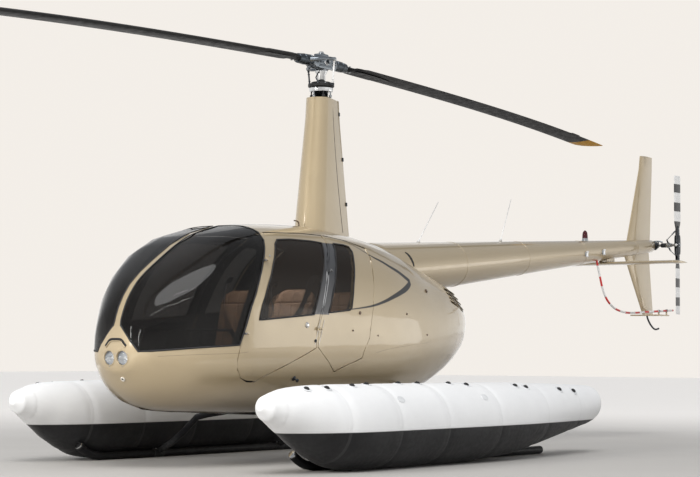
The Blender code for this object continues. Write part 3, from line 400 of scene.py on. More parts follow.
def makeEnamel(name, colour, roughness, metallic=0.0, wear=(0.3, 0.29, 0.28), coat=0.25):
    enamel = newMaterial(name, colour, roughness, {
        "Metallic": metallic, "Coat Weight": coat, "Coat Roughness": 0.15,
    })
    place = objectPlace(enamel, 1.0)
    cloud = noise(enamel, place, 7.0, 5, 0.6)
    paler = tuple(min(1.0, c * 1.25 + 0.008) for c in colour)
    body = blendColour(enamel, spread(enamel, cloud, 0.35, 0.65), colour, paler)
    edge = addNode(enamel, "NewGeometry", {}).outputs["Pointiness"]
    chips = calc(enamel, "MULTIPLY", spread(enamel, edge, 0.53, 0.6), noise(enamel, place, 45.0, 4))
    feed(enamel, "Base Color", blendColour(enamel, chips, body, wear))
    setRange(enamel, "Roughness", noise(enamel, place, 22.0, 4), roughness - 0.06, roughness + 0.08)
    addBump(enamel, noise(enamel, place, 260.0, 3), 0.08, 0.0006)
    return enamel


def makeMetal(name, colour, roughness, brushed=(1, 1, 12)):
    metal = newMaterial(name, colour, roughness, {"Metallic": 1.0})
    grain = noise(metal, objectPlace(metal, brushed), 120.0, 4, 0.7)
    stain = noise(metal, objectPlace(metal, 1.0), 14.0, 5, 0.6)
    darker = tuple(c * 0.55 for c in colour)
    feed(metal, "Base Color", blendColour(metal, spread(metal, stain, 0.35, 0.75), colour, darker))
    setRange(metal, "Roughness", grain, roughness - 0.08, roughness + 0.12)
    addBump(metal, grain, 0.12, 0.0005)
    return metal


def makePlastic(name, colour, roughness, grainScale=420.0):
    plastic = newMaterial(name, colour, roughness, {"Specular IOR Level": 0.4})
    place = objectPlace(plastic, 1.0)
    dust = noise(plastic, place, 9.0, 4)
    dusty = tuple(c * 1.5 + 0.012 for c in colour)
    feed(plastic, "Base Color", blendColour(plastic, spread(plastic, dust, 0.4, 0.8), colour, dusty))
    cells = addNode(plastic, "TexVoronoi", {"Vector": place, "Scale": grainScale}).outputs["Distance"]
    addBump(plastic, cells, 0.15, 0.0006)
    setRange(plastic, "Roughness", dust, roughness, roughness + 0.1)
    return plastic


def makeLeather():
    leather = newMaterial("brownLeather", (0.4, 0.235, 0.135), 0.42, {
        "Specular IOR Level": 0.45, "Coat Weight": 0.08, "Coat Roughness": 0.3,
    })
    place = objectPlace(leather, 1.0)
    cloud = noise(leather, place, 6.0, 5, 0.6)
    colour = blendColour(leather, spread(leather, cloud, 0.3, 0.7), (0.36, 0.205, 0.115), (0.46, 0.28, 0.168))
    feed(leather, "Base Color", colour)
    setRange(leather, "Roughness", noise(leather, place, 24.0, 4), 0.36, 0.52)
    grain = addNode(leather, "TexVoronoi", {"Vector": place, "Scale": 330.0}, {"feature": "DISTANCE_TO_EDGE"})
    pebbles = addBump(leather, grain.outputs["Distance"], 0.35, 0.0012)
    addBump(leather, noise(leather, place, 14.0, 4), 0.25, 0.006, pebbles)
    return leather


def makeWebbing():
    webbing = newMaterial("beltWebbing", (0.03, 0.031, 0.034), 0.6, {
        "Sheen Weight": 0.25, "Sheen Roughness": 0.4,
    })
    threads = uvPlace(webbing, (34.0, 260.0, 1.0))
    thread = wave(webbing, threads, 1.0, "DIAGONAL", 0.3)
    feed(webbing, "Base Color", blendColour(webbing, thread, (0.02, 0.021, 0.024), (0.06, 0.062, 0.068)))
    setRange(webbing, "Roughness", noise(webbing, objectPlace(webbing, 1.0), 80.0, 3), 0.5, 0.7)
    addBump(webbing, thread, 0.5, 0.0006)
    return webbing


def makeCarpet(name, colour, scale, depth):
    carpet = newMaterial(name, colour, 0.9, {
        "Sheen Weight": 0.3, "Sheen Roughness": 0.5, "Specular IOR Level": 0.2,
    })
    place = objectPlace(carpet, 1.0)
    pile = noise(carpet, place, scale, 5, 0.7)
    paler = tuple(c * 1.8 + 0.006 for c in colour)
    feed(carpet, "Base Color", blendColour(carpet, spread(carpet, pile, 0.35, 0.65), colour, paler))
    setRange(carpet, "Roughness", pile, 0.85, 1.0)
    addBump(carpet, pile, 0.6, depth)
    return carpet


def makeBanded(name, first, second, measure, edges):
    # two colours in bands; measure gives the distance that the edges are read on
    banded = newMaterial(name, first, 0.36, {"Coat Weight": 0.3, "Coat Roughness": 0.12})
    value = measure(banded)
    mask = None
    for low, high in edges:
        band = calc(banded, "MULTIPLY", spread(banded, value, low - 0.0008, low + 0.0008),
                    spread(banded, value, high - 0.0008, high + 0.0008, 1.0, 0.0))
        mask = band if mask is None else calc(banded, "MAXIMUM", mask, band)
    place = objectPlace(banded, 1.0)
    worn = spread(banded, noise(banded, place, 12.0, 5, 0.6), 0.35, 0.75)
    paler = blendColour(banded, worn, first, tuple(c * 0.86 for c in first))
    darker = blendColour(banded, worn, second, tuple(c * 1.3 + 0.01 for c in second))
    feed(banded, "Base Color", blendColour(banded, mask, paler, darker))
    setRange(banded, "Roughness", noise(banded, place, 40.0, 3), 0.3, 0.44)
    addBump(banded, noise(banded, place, 320.0, 3), 0.06, 0.0005)
    return banded


# key: material's name, colour, then what its maker takes

glazings = {
    "glazing": ("smokedGlazing", (0.016, 0.011, 0.007), 0.57, 0.02),
    "screen": ("tintedScreen", (0.006, 0.0055, 0.005), 0.7, 0.02),
    "lamp": ("lampLens", (0.75, 0.78, 0.8), 0.3, 0.05),
    "redGlass": ("redLensGlass", (0.055, 0.006, 0.01), 0.9, 0.08),
    "lampGlow": ("bulbGlass", (0.88, 0.88, 0.86), 0.6, 0.04),
}
enamels = {
    "trim": ("paleTrim", (0.72, 0.68, 0.6), 0.3),
    "dark": ("darkTrim", (0.022, 0.022, 0.024), 0.42),
    "white": ("whiteEnamel", (0.8, 0.8, 0.79), 0.34),
    "red": ("redEnamel", (0.52, 0.035, 0.03), 0.3),
    "whiteGloss": ("whiteGloss", (0.78, 0.8, 0.84), 0.2),
    "blade": ("bladePaint", (0.018, 0.018, 0.019), 0.42),
    "skid": ("skidPaint", (0.004, 0.004, 0.005), 0.5, 0.0, (0.1, 0.1, 0.1), 0.05),
}
metals = {
    "steel": ("bareSteel", (0.46, 0.48, 0.5), 0.3),
    "darkSteel": ("darkSteel", (0.07, 0.076, 0.084), 0.38),
    "hubSteel": ("hubSteel", (0.085, 0.099, 0.113), 0.26),
    "hubPlate": ("hubPlateMetal", (0.27, 0.3, 0.33), 0.24),
    "chrome": ("polishedChrome", (0.8, 0.81, 0.82), 0.12, (1, 1, 3)),
    "burnt": ("burntSteel", (0.25, 0.19, 0.15), 0.45),
}
plastics = {
    "interior": ("interiorPlastic", (0.02, 0.02, 0.021), 0.6),
    "floatPatch": ("floatPatchFabric", (0.6, 0.61, 0.62), 0.5),
    "rubber": ("blackRubber", (0.012, 0.012, 0.013), 0.5, 700.0),
}
carpets = {
    "lining": ("cabinLining", (0.016, 0.015, 0.015), 260.0, 0.0008),
    "carpet": ("cabinCarpet", (0.022, 0.02, 0.019), 420.0, 0.0016),
}
paints = {}


def makePaints():
    paints["bodyMarked"] = makeBodyPaint("champagneMarked", True)
    paints["body"] = makeBodyPaint("champagnePlain", False)
    for table, make in (
        (glazings, makeGlazing), (enamels, makeEnamel), (metals, makeMetal), (plastics, makePlastic),
        (carpets, makeCarpet),
    ):
        for key, look in table.items():
            paints[key] = make(*look)
    paints["leather"] = makeLeather()
    paints["webbing"] = makeWebbing()
    paints["lens"] = makeLens()
    shaderOf(paints["skid"]).inputs["Specular IOR Level"].default_value = 0.15


def dressNodes():
    slots = {
        "champagne_paint": "body", "smoked_glazing": "glazing", "black_paint": "blade",
        "float_fabric": "white", "bare_steel": "steel", "dark_trim": "dark", "brown_leather": "interior",
        "white_paint": "white", "red_paint": "red", "lamp_glass": "lamp",
    }
    for node in nodes.values():
        for slot in node.material_slots:
            for name, paint in slots.items():
                if slot.material and name in slot.material.name:
                    slot.material = paints[paint]


# Ways of making pieces


def clearSelection():
    if bpy.context.mode != "OBJECT":
        bpy.ops.object.mode_set(mode="OBJECT")
    bpy.ops.object.select_all(action="DESELECT")


def pick(piece):
    clearSelection()
    piece.select_set(True)
    bpy.context.view_layer.objects.active = piece


def applyAll(piece):
    pick(piece)
    for modifier in list(piece.modifiers):
        bpy.ops.object.modifier_apply(modifier=modifier.name)


def tidyMesh(piece, merge=0.00001):
    pick(piece)
    bpy.ops.object.mode_set(mode="EDIT")
    bpy.ops.mesh.select_all(action="SELECT")
    bpy.ops.mesh.remove_doubles(threshold=merge)
    bpy.ops.mesh.normals_make_consistent(inside=False)
    bpy.ops.object.mode_set(mode="OBJECT")


def roundEdges(piece, width, segments=2, angle=40):
    bevel = piece.modifiers.new("softEdges", "BEVEL")
    bevel.width = width
    bevel.segments = segments
    bevel.limit_method = "ANGLE"
    bevel.angle_limit = radians(angle)
    applyAll(piece)


# the slot of each paint's pieces, where a call names no other; finishPiece looks it up but keeps it nowhere
paintSlots = {
    "champagne_paint": ("body", "trim"),
    "bare_steel": ("steel", "chrome", "darkSteel", "hubSteel", "hubPlate", "burnt"),
    "dark_trim": ("rubber", "interior", "webbing", "skid", "dark"),
    "brown_leather": ("leather",),
    "white_paint": ("white", "whiteGloss"),
    "red_paint": ("red", "redGlass"),
    "float_fabric": ("floatPatch", "floatFabric"),
    "lamp_glass": ("lampGlow", "lens"),
}


def finishPiece(piece, paint, body, smooth=35, replaced=(), slot=None):
    pick(piece)
    bpy.ops.object.transform_apply(location=True, rotation=True, scale=True)
    piece.data.materials.clear()
    piece.data.materials.append(paints[paint] if isinstance(paint, str) else paint)
    if smooth:
        bpy.ops.object.shade_smooth_by_angle(angle=radians(smooth))
    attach(piece, body)
    if replaced:
        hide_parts(*replaced)
    if slot is None:
        slot = next((name for name, keys in paintSlots.items() if paint in keys), None)
    return piece


def add(paint, make, *form, body="airframe", smooth=35, replaced=(), slot=None):
    # a piece made by one of the functions below and finished
    return finishPiece(make(*form), paint, body, smooth, replaced, slot)


def loftPiece(name, rings, capped=True, closed=True):
    # a grid primitive whose rows are laid on the rings
    across, along = len(rings[0]), len(rings) - 1
    clearSelection()
    columns = across if closed else across - 1
    bpy.ops.mesh.primitive_grid_add(x_subdivisions=columns, y_subdivisions=along, size=1)
    piece = bpy.context.object
    piece.name = name
    for row, ring in enumerate(rings):
        for column in range(columns + 1):
            piece.data.vertices[row * (columns + 1) + column].co = ring[column % across]
    tidyMesh(piece)
    if capped:
        bpy.ops.object.mode_set(mode="EDIT")
        bpy.ops.mesh.select_all(action="DESELECT")
        bpy.ops.mesh.select_non_manifold(extend=False)
        bpy.ops.mesh.fill_holes(sides=0)
        bpy.ops.mesh.select_all(action="SELECT")
        bpy.ops.mesh.normals_make_consistent(inside=False)
        bpy.ops.object.mode_set(mode="OBJECT")
    return piece


def turnedPiece(name, at, axis, profile, sides=32):
    # a disc pushed and scaled along the axis; profile rows are (distance, radius)
    clearSelection()
    bpy.ops.mesh.primitive_circle_add(
        vertices=sides, radius=profile[0][1], fill_type="NGON", location=(0, 0, profile[0][0]),
    )
    piece = bpy.context.object
    piece.name = name
    bpy.ops.object.mode_set(mode="EDIT")
    bpy.ops.mesh.select_all(action="SELECT")
    for (z0, r0), (z1, r1) in zip(profile, profile[1:]):
        bpy.ops.mesh.extrude_region_move(TRANSFORM_OT_translate={"value": (0, 0, z1 - z0)})
        if r1 != r0:
            ratio = r1 / r0
            bpy.ops.transform.resize(value=(ratio, ratio, 1), center_override=(0, 0, z1))
    bpy.ops.mesh.select_all(action="SELECT")
    bpy.ops.mesh.normals_make_consistent(inside=False)
    bpy.ops.object.mode_set(mode="OBJECT")
    bpy.ops.object.transform_apply(location=True, rotation=True, scale=True)
    turn = Vector(axis).to_track_quat("Z", "Y").to_matrix().to_4x4()
    piece.data.transform(Matrix.Translation(at) @ turn)
    return piece


def barPiece(name, points, radius, sides=6, straight=False):
    # a round bar along a curve, made a mesh; radius may be one number or one for each point
    clearSelection()
    bpy.ops.curve.primitive_bezier_curve_add(location=(0, 0, 0))
    bar = bpy.context.object
    bar.name = name
    line = bar.data
    line.splines.clear()
    spline = line.splines.new("BEZIER")
    spline.bezier_points.add(len(points) - 1)
    for i, (knot, point) in enumerate(zip(spline.bezier_points, points)):
        knot.co = point
        knot.handle_left_type = knot.handle_right_type = "VECTOR" if straight else "AUTO"
        knot.radius = radius[i] / radius[0] if isinstance(radius, (tuple, list)) else 1.0
    line.dimensions = "3D"
    line.bevel_depth = radius[0] if isinstance(radius, (tuple, list)) else radius
    line.bevel_resolution = sides // 2
    line.resolution_u = 1 if straight else 8
    line.use_fill_caps = True
    bpy.ops.object.convert(target="MESH")
    tidyMesh(bpy.context.object)
    return bpy.context.object


def platePiece(name, outline, depth, bevel=0.0, segments=2):
    # an outline of points in space, filled and pushed by a vector
    clearSelection()
    bpy.ops.mesh.primitive_circle_add(vertices=len(outline), fill_type="NGON", location=(0, 0, 0))
    plate = bpy.context.object
    plate.name = name
    for corner, point in zip(plate.data.vertices, outline):
        corner.co = point
    bpy.ops.object.mode_set(mode="EDIT")
    bpy.ops.mesh.select_all(action="SELECT")
    bpy.ops.mesh.extrude_region_move(TRANSFORM_OT_translate={"value": tuple(depth)})
    bpy.ops.mesh.select_all(action="SELECT")
    bpy.ops.mesh.normals_make_consistent(inside=False)
    bpy.ops.object.mode_set(mode="OBJECT")
    if bevel:
        roundEdges(plate, bevel, segments)
    return plate


def boxPiece(name, low, high, bevel, segments=2, taper=1.0):
    # a block with its top drawn in and its edges rounded
    clearSelection()
    bpy.ops.mesh.primitive_cube_add(size=1, location=(0, 0, 0))
    block = bpy.context.object
    block.name = name
    for corner in block.data.vertices:
        place = [low[k] if corner.co[k] < 0 else high[k] for k in range(3)]
        if corner.co[2] > 0:
            for k in (0, 1):
                middle = (low[k] + high[k]) / 2
                place[k] = middle + (place[k] - middle) * taper
        corner.co = place
    roundEdges(block, bevel, segments)
    return block


def joined(name, parts):
    clearSelection()
    for part in parts:
        part.select_set(True)
    bpy.context.view_layer.objects.active = parts[0]
    if len(parts) > 1:
        bpy.ops.object.join()
    parts[0].name = name
    return parts[0]


def copied(piece, name, matrix):
    twin = piece.copy()
    twin.data = piece.data.copy()
    twin.name = name
    bpy.context.collection.objects.link(twin)
    twin.data.transform(matrix)
    if matrix.to_3x3().determinant() < 0:
        twin.data.flip_normals()
    return twin


def smoothPath(points, count):
    # evenly spaced points on a smooth curve through the given ones
    points = [Vector(p) for p in points]
    fine = []
    for i in range(len(points) - 1):
        before, here = points[max(i - 1, 0)], points[i]
        ahead, after = points[i + 1], points[min(i + 2, len(points) - 1)]
        for k in range(16):
            t = k / 16
            fine.append(0.5 * (
                2 * here + (ahead - before) * t + (2 * before - 5 * here + 4 * ahead - after) * t * t
                + (3 * here - before - 3 * ahead + after) * t ** 3
            ))
    fine.append(points[-1])
    reach = [0.0]
    for a, b in zip(fine, fine[1:]):
        reach.append(reach[-1] + (b - a).length)
    result, j = [], 0
    for i in range(count + 1):
        want = reach[-1] * i / count
        while j < len(reach) - 2 and reach[j + 1] < want:
            j += 1
        span = max(reach[j + 1] - reach[j], 1e-9)
        result.append(fine[j].lerp(fine[j + 1], min((want - reach[j]) / span, 1.0)))
    return result


def sweptPiece(name, points, section, count, facing=(0, 0, 1)):
    # a section of (across, out) pairs carried along a smooth path; its UV runs along the path
    path = smoothPath(points, count)
    out = Vector(facing)
    rings = []
    for i, place in enumerate(path):
        ahead = (path[min(i + 1, count)] - path[max(i - 1, 0)]).normalized()
        out = (out - out.dot(ahead) * ahead).normalized()
        across = ahead.cross(out)
        rings.append([place + a * across + b * out for a, b in section])
    return loftPiece(name, rings)


def roundSection(radius, sides=12):
    return [(radius * cos(2 * pi * i / sides), radius * sin(2 * pi * i / sides)) for i in range(sides)]


def strapSection(width, thick):
    w, t = width / 2, thick / 2
    return [(-w, -t * 0.4), (-w * 0.96, -t), (w * 0.96, -t), (w, -t * 0.4), (w, t * 0.4), (w * 0.96, t),
            (-w * 0.96, t), (-w, t * 0.4)]


def nodeCopy(node, ending):
    twin = copied(nodes[node], node + ending, Matrix())
    twin.parent = None
    for key in list(twin.keys()):
        del twin[key]
    tidyMesh(twin, 0.00002)
    return twin


def softCopy(node, paint, angle=35, bevel=0.0):
    # the solid's own shape, merged, with soft edges and smooth shading
    twin = nodeCopy(node, "_soft")
    if bevel:
        roundEdges(twin, bevel, 2, 50)
    finishPiece(twin, paint, nodes[node]["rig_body"], angle, (node,), "")


def ringPiece(name, at, axis, section, sides=48):
    # a closed section of (distance, radius) pairs carried round an axis
    turn = Vector(axis).to_track_quat("Z", "Y").to_matrix()
    rings = []
    for i in range(sides + 1):
        a = 2 * pi * (i % sides) / sides
        rings.append([Vector(at) + turn @ Vector((r * cos(a), r * sin(a), d)) for d, r in section])
    piece = loftPiece(name, rings, capped=False)
    tidyMesh(piece, 0.00002)
    return piece


def hexHead(name, at, axis, across, height):
    return turnedPiece(name, at, axis, (
        (0, across * 0.5), (height * 0.8, across * 0.5), (height, across * 0.42),
    ), 6)


# The hull's skin, smooth, from the same sections as the solids. y, half width, bottom, top, waist, powers

hull = {
    "sections": (
        (-2.425, 0.0, 0.86, 0.86, 0.86, 2.0, 2.0), (-2.408, 0.15, 0.715, 1.02, 0.86, 2.2, 2.2),
        (-2.36, 0.258, 0.645, 1.165, 0.86, 2.3, 2.2), (-2.25, 0.362, 0.52, 1.329, 0.86, 2.5, 2.2),
        (-2.0, 0.535, 0.415, 1.52, 0.87, 3.3, 2.2), (-1.6, 0.645, 0.394, 1.735, 0.88, 3.9, 2.3),
        (-1.1, 0.643, 0.377, 1.836, 0.9, 3.2, 2.4), (-0.5, 0.643, 0.394, 1.854, 0.92, 2.8, 2.5),
        (0.1, 0.64, 0.393, 1.813, 0.94, 2.7, 2.5), (0.6, 0.6, 0.428, 1.74, 0.98, 2.4, 2.4),
        (1.1, 0.518, 0.535, 1.61, 1.04, 2.1, 2.3), (1.55, 0.384, 0.695, 1.488, 1.09, 2.1, 2.2),
        (1.85, 0.229, 0.85, 1.356, 1.12, 2.0, 2.1), (1.97, 0.121, 0.965, 1.251, 1.14, 2.0, 2.0),
        (2.0, 0.0, 1.14, 1.14, 1.14, 2.0, 2.0),
    ),
    "ringsPerSection": 8,
    "sides": 96,
}


def smoothColumn(rows, column, u):
    last = len(rows) - 1
    i = min(int(u), last - 1)
    t = u - i
    values = [row[column] for row in rows]
    steps = [b - a for a, b in zip(values, values[1:])]

    def slope(k):
        if k in (0, last):
            return steps[0] if k == 0 else steps[-1]
        before, after = steps[k - 1], steps[k]
        return 0.0 if before * after <= 0 else 2 * before * after / (before + after)

    return (
        (1 + 2 * t) * (1 - t) ** 2 * values[i] + t * (1 - t) ** 2 * slope(i)
        + t * t * (3 - 2 * t) * values[i + 1] + t * t * (t - 1) * slope(i + 1)
    )


def hullRing(u):
    y, half, bottom, top, waist, above, below = (smoothColumn(hull["sections"], c, u) for c in range(7))
    ring = []
    for i in range(hull["sides"]):
        a = 2 * pi * i / hull["sides"]
        power = 2 / (above if sin(a) >= 0 else below)
        x = half * abs(cos(a)) ** power * (1 if cos(a) >= 0 else -1)
        reach = (top - waist) if sin(a) >= 0 else (bottom - waist)
        ring.append(world(x, y, waist + abs(sin(a)) ** power * reach))
    return ring


def makeHullGuide():
    # only its shape and normals are read; the object is taken away again
    steps = hull["ringsPerSection"]
    last = len(hull["sections"]) - 1
    rings = [hullRing(i / steps) for i in range(1, last * steps)]
    guide = loftPiece("hullGuide", rings)
    shape = guide.data
    places = [vertex.co.copy() for vertex in shape.vertices]
    normals = [vertex.normal.copy() for vertex in shape.vertices]
    faces = [tuple(face.vertices) for face in shape.polygons]
    hull["places"], hull["normals"], hull["faces"] = places, normals, faces
    hull["tree"] = BVHTree.FromPolygons(places, faces)
    bpy.data.objects.remove(guide)


def skinNormal(point):
    near, flat, index, away = hull["tree"].find_nearest(point)
    total, weight = Vector(), 0.0
    for corner in hull["faces"][index]:
        share = 1 / ((hull["places"][corner] - near).length + 1e-4) ** 2
        total += hull["normals"][corner] * share
        weight += share
    return total.normalized(), away


def skinPoint(side, y, z, proud=0.0):
    # place and normal on the hull, looked for from the side
    start = world(side * 2.0, y, z)
    place = hull["tree"].ray_cast(start, Vector((-side, 0, 0)))[0]
    if place is None:
        place = hull["tree"].find_nearest(world(side * 0.3, y, z))[0]
    normal = skinNormal(place)[0]
    return place + proud * normal, normal


def nosePoint(x, z, proud=0.0):
    place = hull["tree"].ray_cast(world(x, -4, z), Vector((0, 1, 0)))[0]
    return place + proud * skinNormal(place)[0]


def topPoint(x, y, proud=0.0):
    place = hull["tree"].ray_cast(world(x, y, 4), Vector((0, 0, -1)))[0]
    return place + proud * skinNormal(place)[0]


def smoothPanels():
    # panels of the hull keep their shape and get the smooth skin's normals
    plain = ("nose_lamp_panel", "belly_tub", "cowl_under", "cowl_tail")
    marked = (
        "nose_shell", "roof_shell", "cowl_side_left", "cowl_side_right", "cowl_top", "door_front_left",
        "door_front_right", "door_rear_left", "door_rear_right",
    )
    glazed = (
        "windscreen_left", "windscreen_right", "window_front_left", "window_front_right", "window_rear_left",
        "window_rear_right",
    )
    rows = [(name, "body") for name in plain] + [(name, "bodyMarked") for name in marked]
    rows += [(name, "screen" if "screen" in name else "glazing") for name in glazed]
    rows += [("windscreen_centre_post", "body"), ("windscreen_bow", "dark")]
    for name, paint in rows:
        node = nodes[name]
        panel = nodeCopy(name, "_skin")
        shape = panel.data
        pick(panel)
        bpy.ops.object.shade_smooth_by_angle(angle=radians(30))
        wanted = [Vector(corner.vector) for corner in shape.corner_normals]
        for face in shape.polygons:
            normal, away = skinNormal(face.center)
            if away < 0.014 and face.normal.dot(normal) > 0.9:
                for loop in face.loop_indices:
                    wanted[loop] = skinNormal(shape.vertices[shape.loops[loop].vertex_index].co)[0]
        shape.normals_split_custom_set([tuple(n) for n in wanted])
        panel.data.materials.clear()
        panel.data.materials.append(paints[paint])
        if paint not in ("glazing", "screen"):
            panel.data.materials.append(paints["lining"])
            for face in shape.polygons:
                face.material_index = 1 if face.normal.dot(skinNormal(face.center)[0]) < -0.6 else 0
        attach(panel, node["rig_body"])
        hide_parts(name)


# Floats: coated fabric over cells, with welded seams

floats = {
    # y, radius, height, shift towards the hull
    "stations": (
        (-2.262, 0.03, 0.47, 0.05), (-2.215, 0.082, 0.462, 0.046), (-2.06, 0.151, 0.439, 0.034),
        (-1.83, 0.229, 0.384, 0.018), (-1.52, 0.297, 0.323, 0.004), (-1.25, 0.31, 0.31, 0.0),
        (0.05, 0.31, 0.31, 0.0), (0.5, 0.3, 0.318, 0.001), (0.8, 0.289, 0.327, 0.003),
        (1.15, 0.262, 0.347, 0.01), (1.5, 0.231, 0.37, 0.02), (1.85, 0.2, 0.392, 0.03),
        (2.15, 0.172, 0.411, 0.036), (2.25, 0.155, 0.42, 0.038), (2.31, 0.118, 0.43, 0.042),
        (2.34, 0.07, 0.436, 0.046), (2.35, 0.03, 0.44, 0.048),
    ),
    "middle": 1.045 + (0.31 + 0.0327 + 0.0003) * cos(radians(54)),
    "seams": (-1.63, -1.06, -0.43, 0.315, 1.135, 1.8),
    "pinch": 0.024,
    "seamWidth": 0.036,
    # y and angle of each pair of fittings on the top
    "fittings": (
        (-1.888, 66), (-1.698, 66), (-1.38, 74), (-1.157, 81), (-0.72, 85), (-0.485, 82.5), (-0.089, 78.5),
        (0.101, 70.5), (0.805, 65), (0.947, 60), (1.513, 52), (1.76, 46),
    ),
    "patches": ((-1.02, 40), (0.12, 40)),
    "waterLine": 0.287,
    "rings": 150,
    "sides": 48,
    "white": (0.79, 0.795, 0.8),
    "black": (0.012, 0.012, 0.013),
}


def floatStation(y):
    rows = floats["stations"]
    for i, (first, second) in enumerate(zip(rows, rows[1:])):
        if y <= second[0]:
            u = i + (y - first[0]) / (second[0] - first[0])
            return [smoothColumn(rows, column, u) for column in (1, 2, 3)]
    return list(rows[-1][1:])


def makeFloatFabric():
    fabric = newMaterial("floatFabric", floats["white"], 0.5, {
        "Specular IOR Level": 0.22, "Sheen Weight": 0.05, "Sheen Roughness": 0.4,
    })
    place = objectPlace(fabric, 1.0)
    middle = objectPlace(fabric, 1.0, (0, -mastY, 0))
    y, z = axisValue(fabric, middle, 1), axisValue(fabric, place, 2)
    cloud = noise(fabric, place, 2.6, 5, 0.6)
    white = blendColour(fabric, spread(fabric, cloud, 0.3, 0.7), floats["white"], (0.74, 0.745, 0.75))
    black = blendColour(fabric, spread(fabric, cloud, 0.4, 0.75), floats["black"], (0.026, 0.026, 0.028))
    below = spread(fabric, z, floats["waterLine"] - 0.002, floats["waterLine"] + 0.002, 1.0, 0.0)
    colour = blendColour(fabric, below, white, black)
    tapes = None
    for seam in floats["seams"]:
        off = calc(fabric, "ABSOLUTE", calc(fabric, "SUBTRACT", y, seam))
        tape = spread(fabric, off, 0.01, 0.013, 1.0, 0.0)
        tapes = tape if tapes is None else calc(fabric, "MAXIMUM", tapes, tape)
    line = spread(fabric, calc(fabric, "ABSOLUTE", calc(fabric, "SUBTRACT", z, 0.3)), 0.01, 0.012, 1.0, 0.0)
    colour = blendColour(fabric, calc(fabric, "MULTIPLY", tapes, 0.07), colour, (0.3, 0.3, 0.3))
    feed(fabric, "Base Color", colour)
    setRange(fabric, "Roughness", noise(fabric, place, 30.0, 4), 0.42, 0.6)
    threads = [wave(fabric, place, 170.0, way, 0.6) for way in "YZ"]
    cloth = addBump(fabric, calc(fabric, "MAXIMUM", *threads), 0.1, 0.0006)
    raised = addBump(fabric, calc(fabric, "MAXIMUM", tapes, line), 0.7, 0.0012, cloth)
    addBump(fabric, noise(fabric, place, 9.0, 3), 0.12, 0.006, raised)
    return fabric


def makeFloats():
    fabric = makeFloatFabric()
    paints["floatFabric"] = fabric
    lines = []
    first, last = floats["stations"][0][0], floats["stations"][-1][0]
    count, sides = floats["rings"], floats["sides"]
    for i in range(count + 1):
        y = first + (last - first) * i / count
        radius, height, inboard = floatStation(y)
        pinch = 0.0
        for seam in floats["seams"]:
            pinch += floats["pinch"] * exp(-((y - seam) / floats["seamWidth"]) ** 2)
        radius *= 1 - pinch
        ring = []
        for k in range(sides):
            a = 2 * pi * k / sides
            ring.append(world(floats["middle"] - inboard + radius * cos(a), y, height + radius * sin(a)))
        lines.append(ring)
    for side, word in leftRight:
        rings = [[Vector((side * p.x, p.y, p.z)) for p in ring] for ring in lines]
        skin = add(fabric, loftPiece, "floatSkin_" + word, rings, smooth=60, replaced=("float_" + word,),
            slot="float_fabric")


# Main rotor blades: root, square middle, swept tip in yellow

mainBlade = {
    "rotorTurn": 2.8,
    "teeter": 0.32,
    "hubHeight": 3.235,
    # radius, leading edge, trailing edge, thickness
    "planform": (
        (0.3453, -0.04, 0.04, 0.05), (0.37, -0.046, 0.046, 0.05), (0.42, -0.066, 0.066, 0.044),
        (0.47, -0.098, 0.1, 0.037), (0.52, -0.127, 0.127, 0.034), (0.56, -0.129, 0.129, 0.032),
        (1.6, -0.129, 0.129, 0.031), (2.8, -0.129, 0.129, 0.031), (3.8, -0.129, 0.129, 0.031),
        (4.7, -0.129, 0.129, 0.03), (4.85, -0.126, 0.129, 0.029), (4.9, -0.11, 0.129, 0.026),
        (4.94, -0.084, 0.129, 0.023), (4.975, -0.045, 0.129, 0.018), (5.005, 0.005, 0.129, 0.013),
        (5.022, 0.055, 0.129, 0.009), (5.03, 0.1, 0.128, 0.006),
    ),
    "black": (0.01, 0.01, 0.011),
    "yellow": (0.5, 0.255, 0.014),
}


def bladeRise(r, end):
    droop = 0.0265 * r + 0.00087 * r ** 3
    return mainBlade["hubHeight"] - droop + radians(mainBlade["teeter"]) * end * r


def rotorPlace(x, y, z):
    # from the blades' own frame to the world
    turn = radians(mainBlade["rotorTurn"])
    return world(x * cos(turn) - y * sin(turn), x * sin(turn) + y * cos(turn), z)


airfoil = (
    (1.0, 0.04), (0.92, 0.18), (0.82, 0.38), (0.7, 0.6), (0.55, 0.82), (0.4, 0.97), (0.28, 1.0),
    (0.17, 0.92), (0.09, 0.72), (0.035, 0.46), (0.008, 0.22), (0.0, 0.0),
)
wingSection = airfoil + tuple((s, -w) for s, w in airfoil[-2:0:-1])


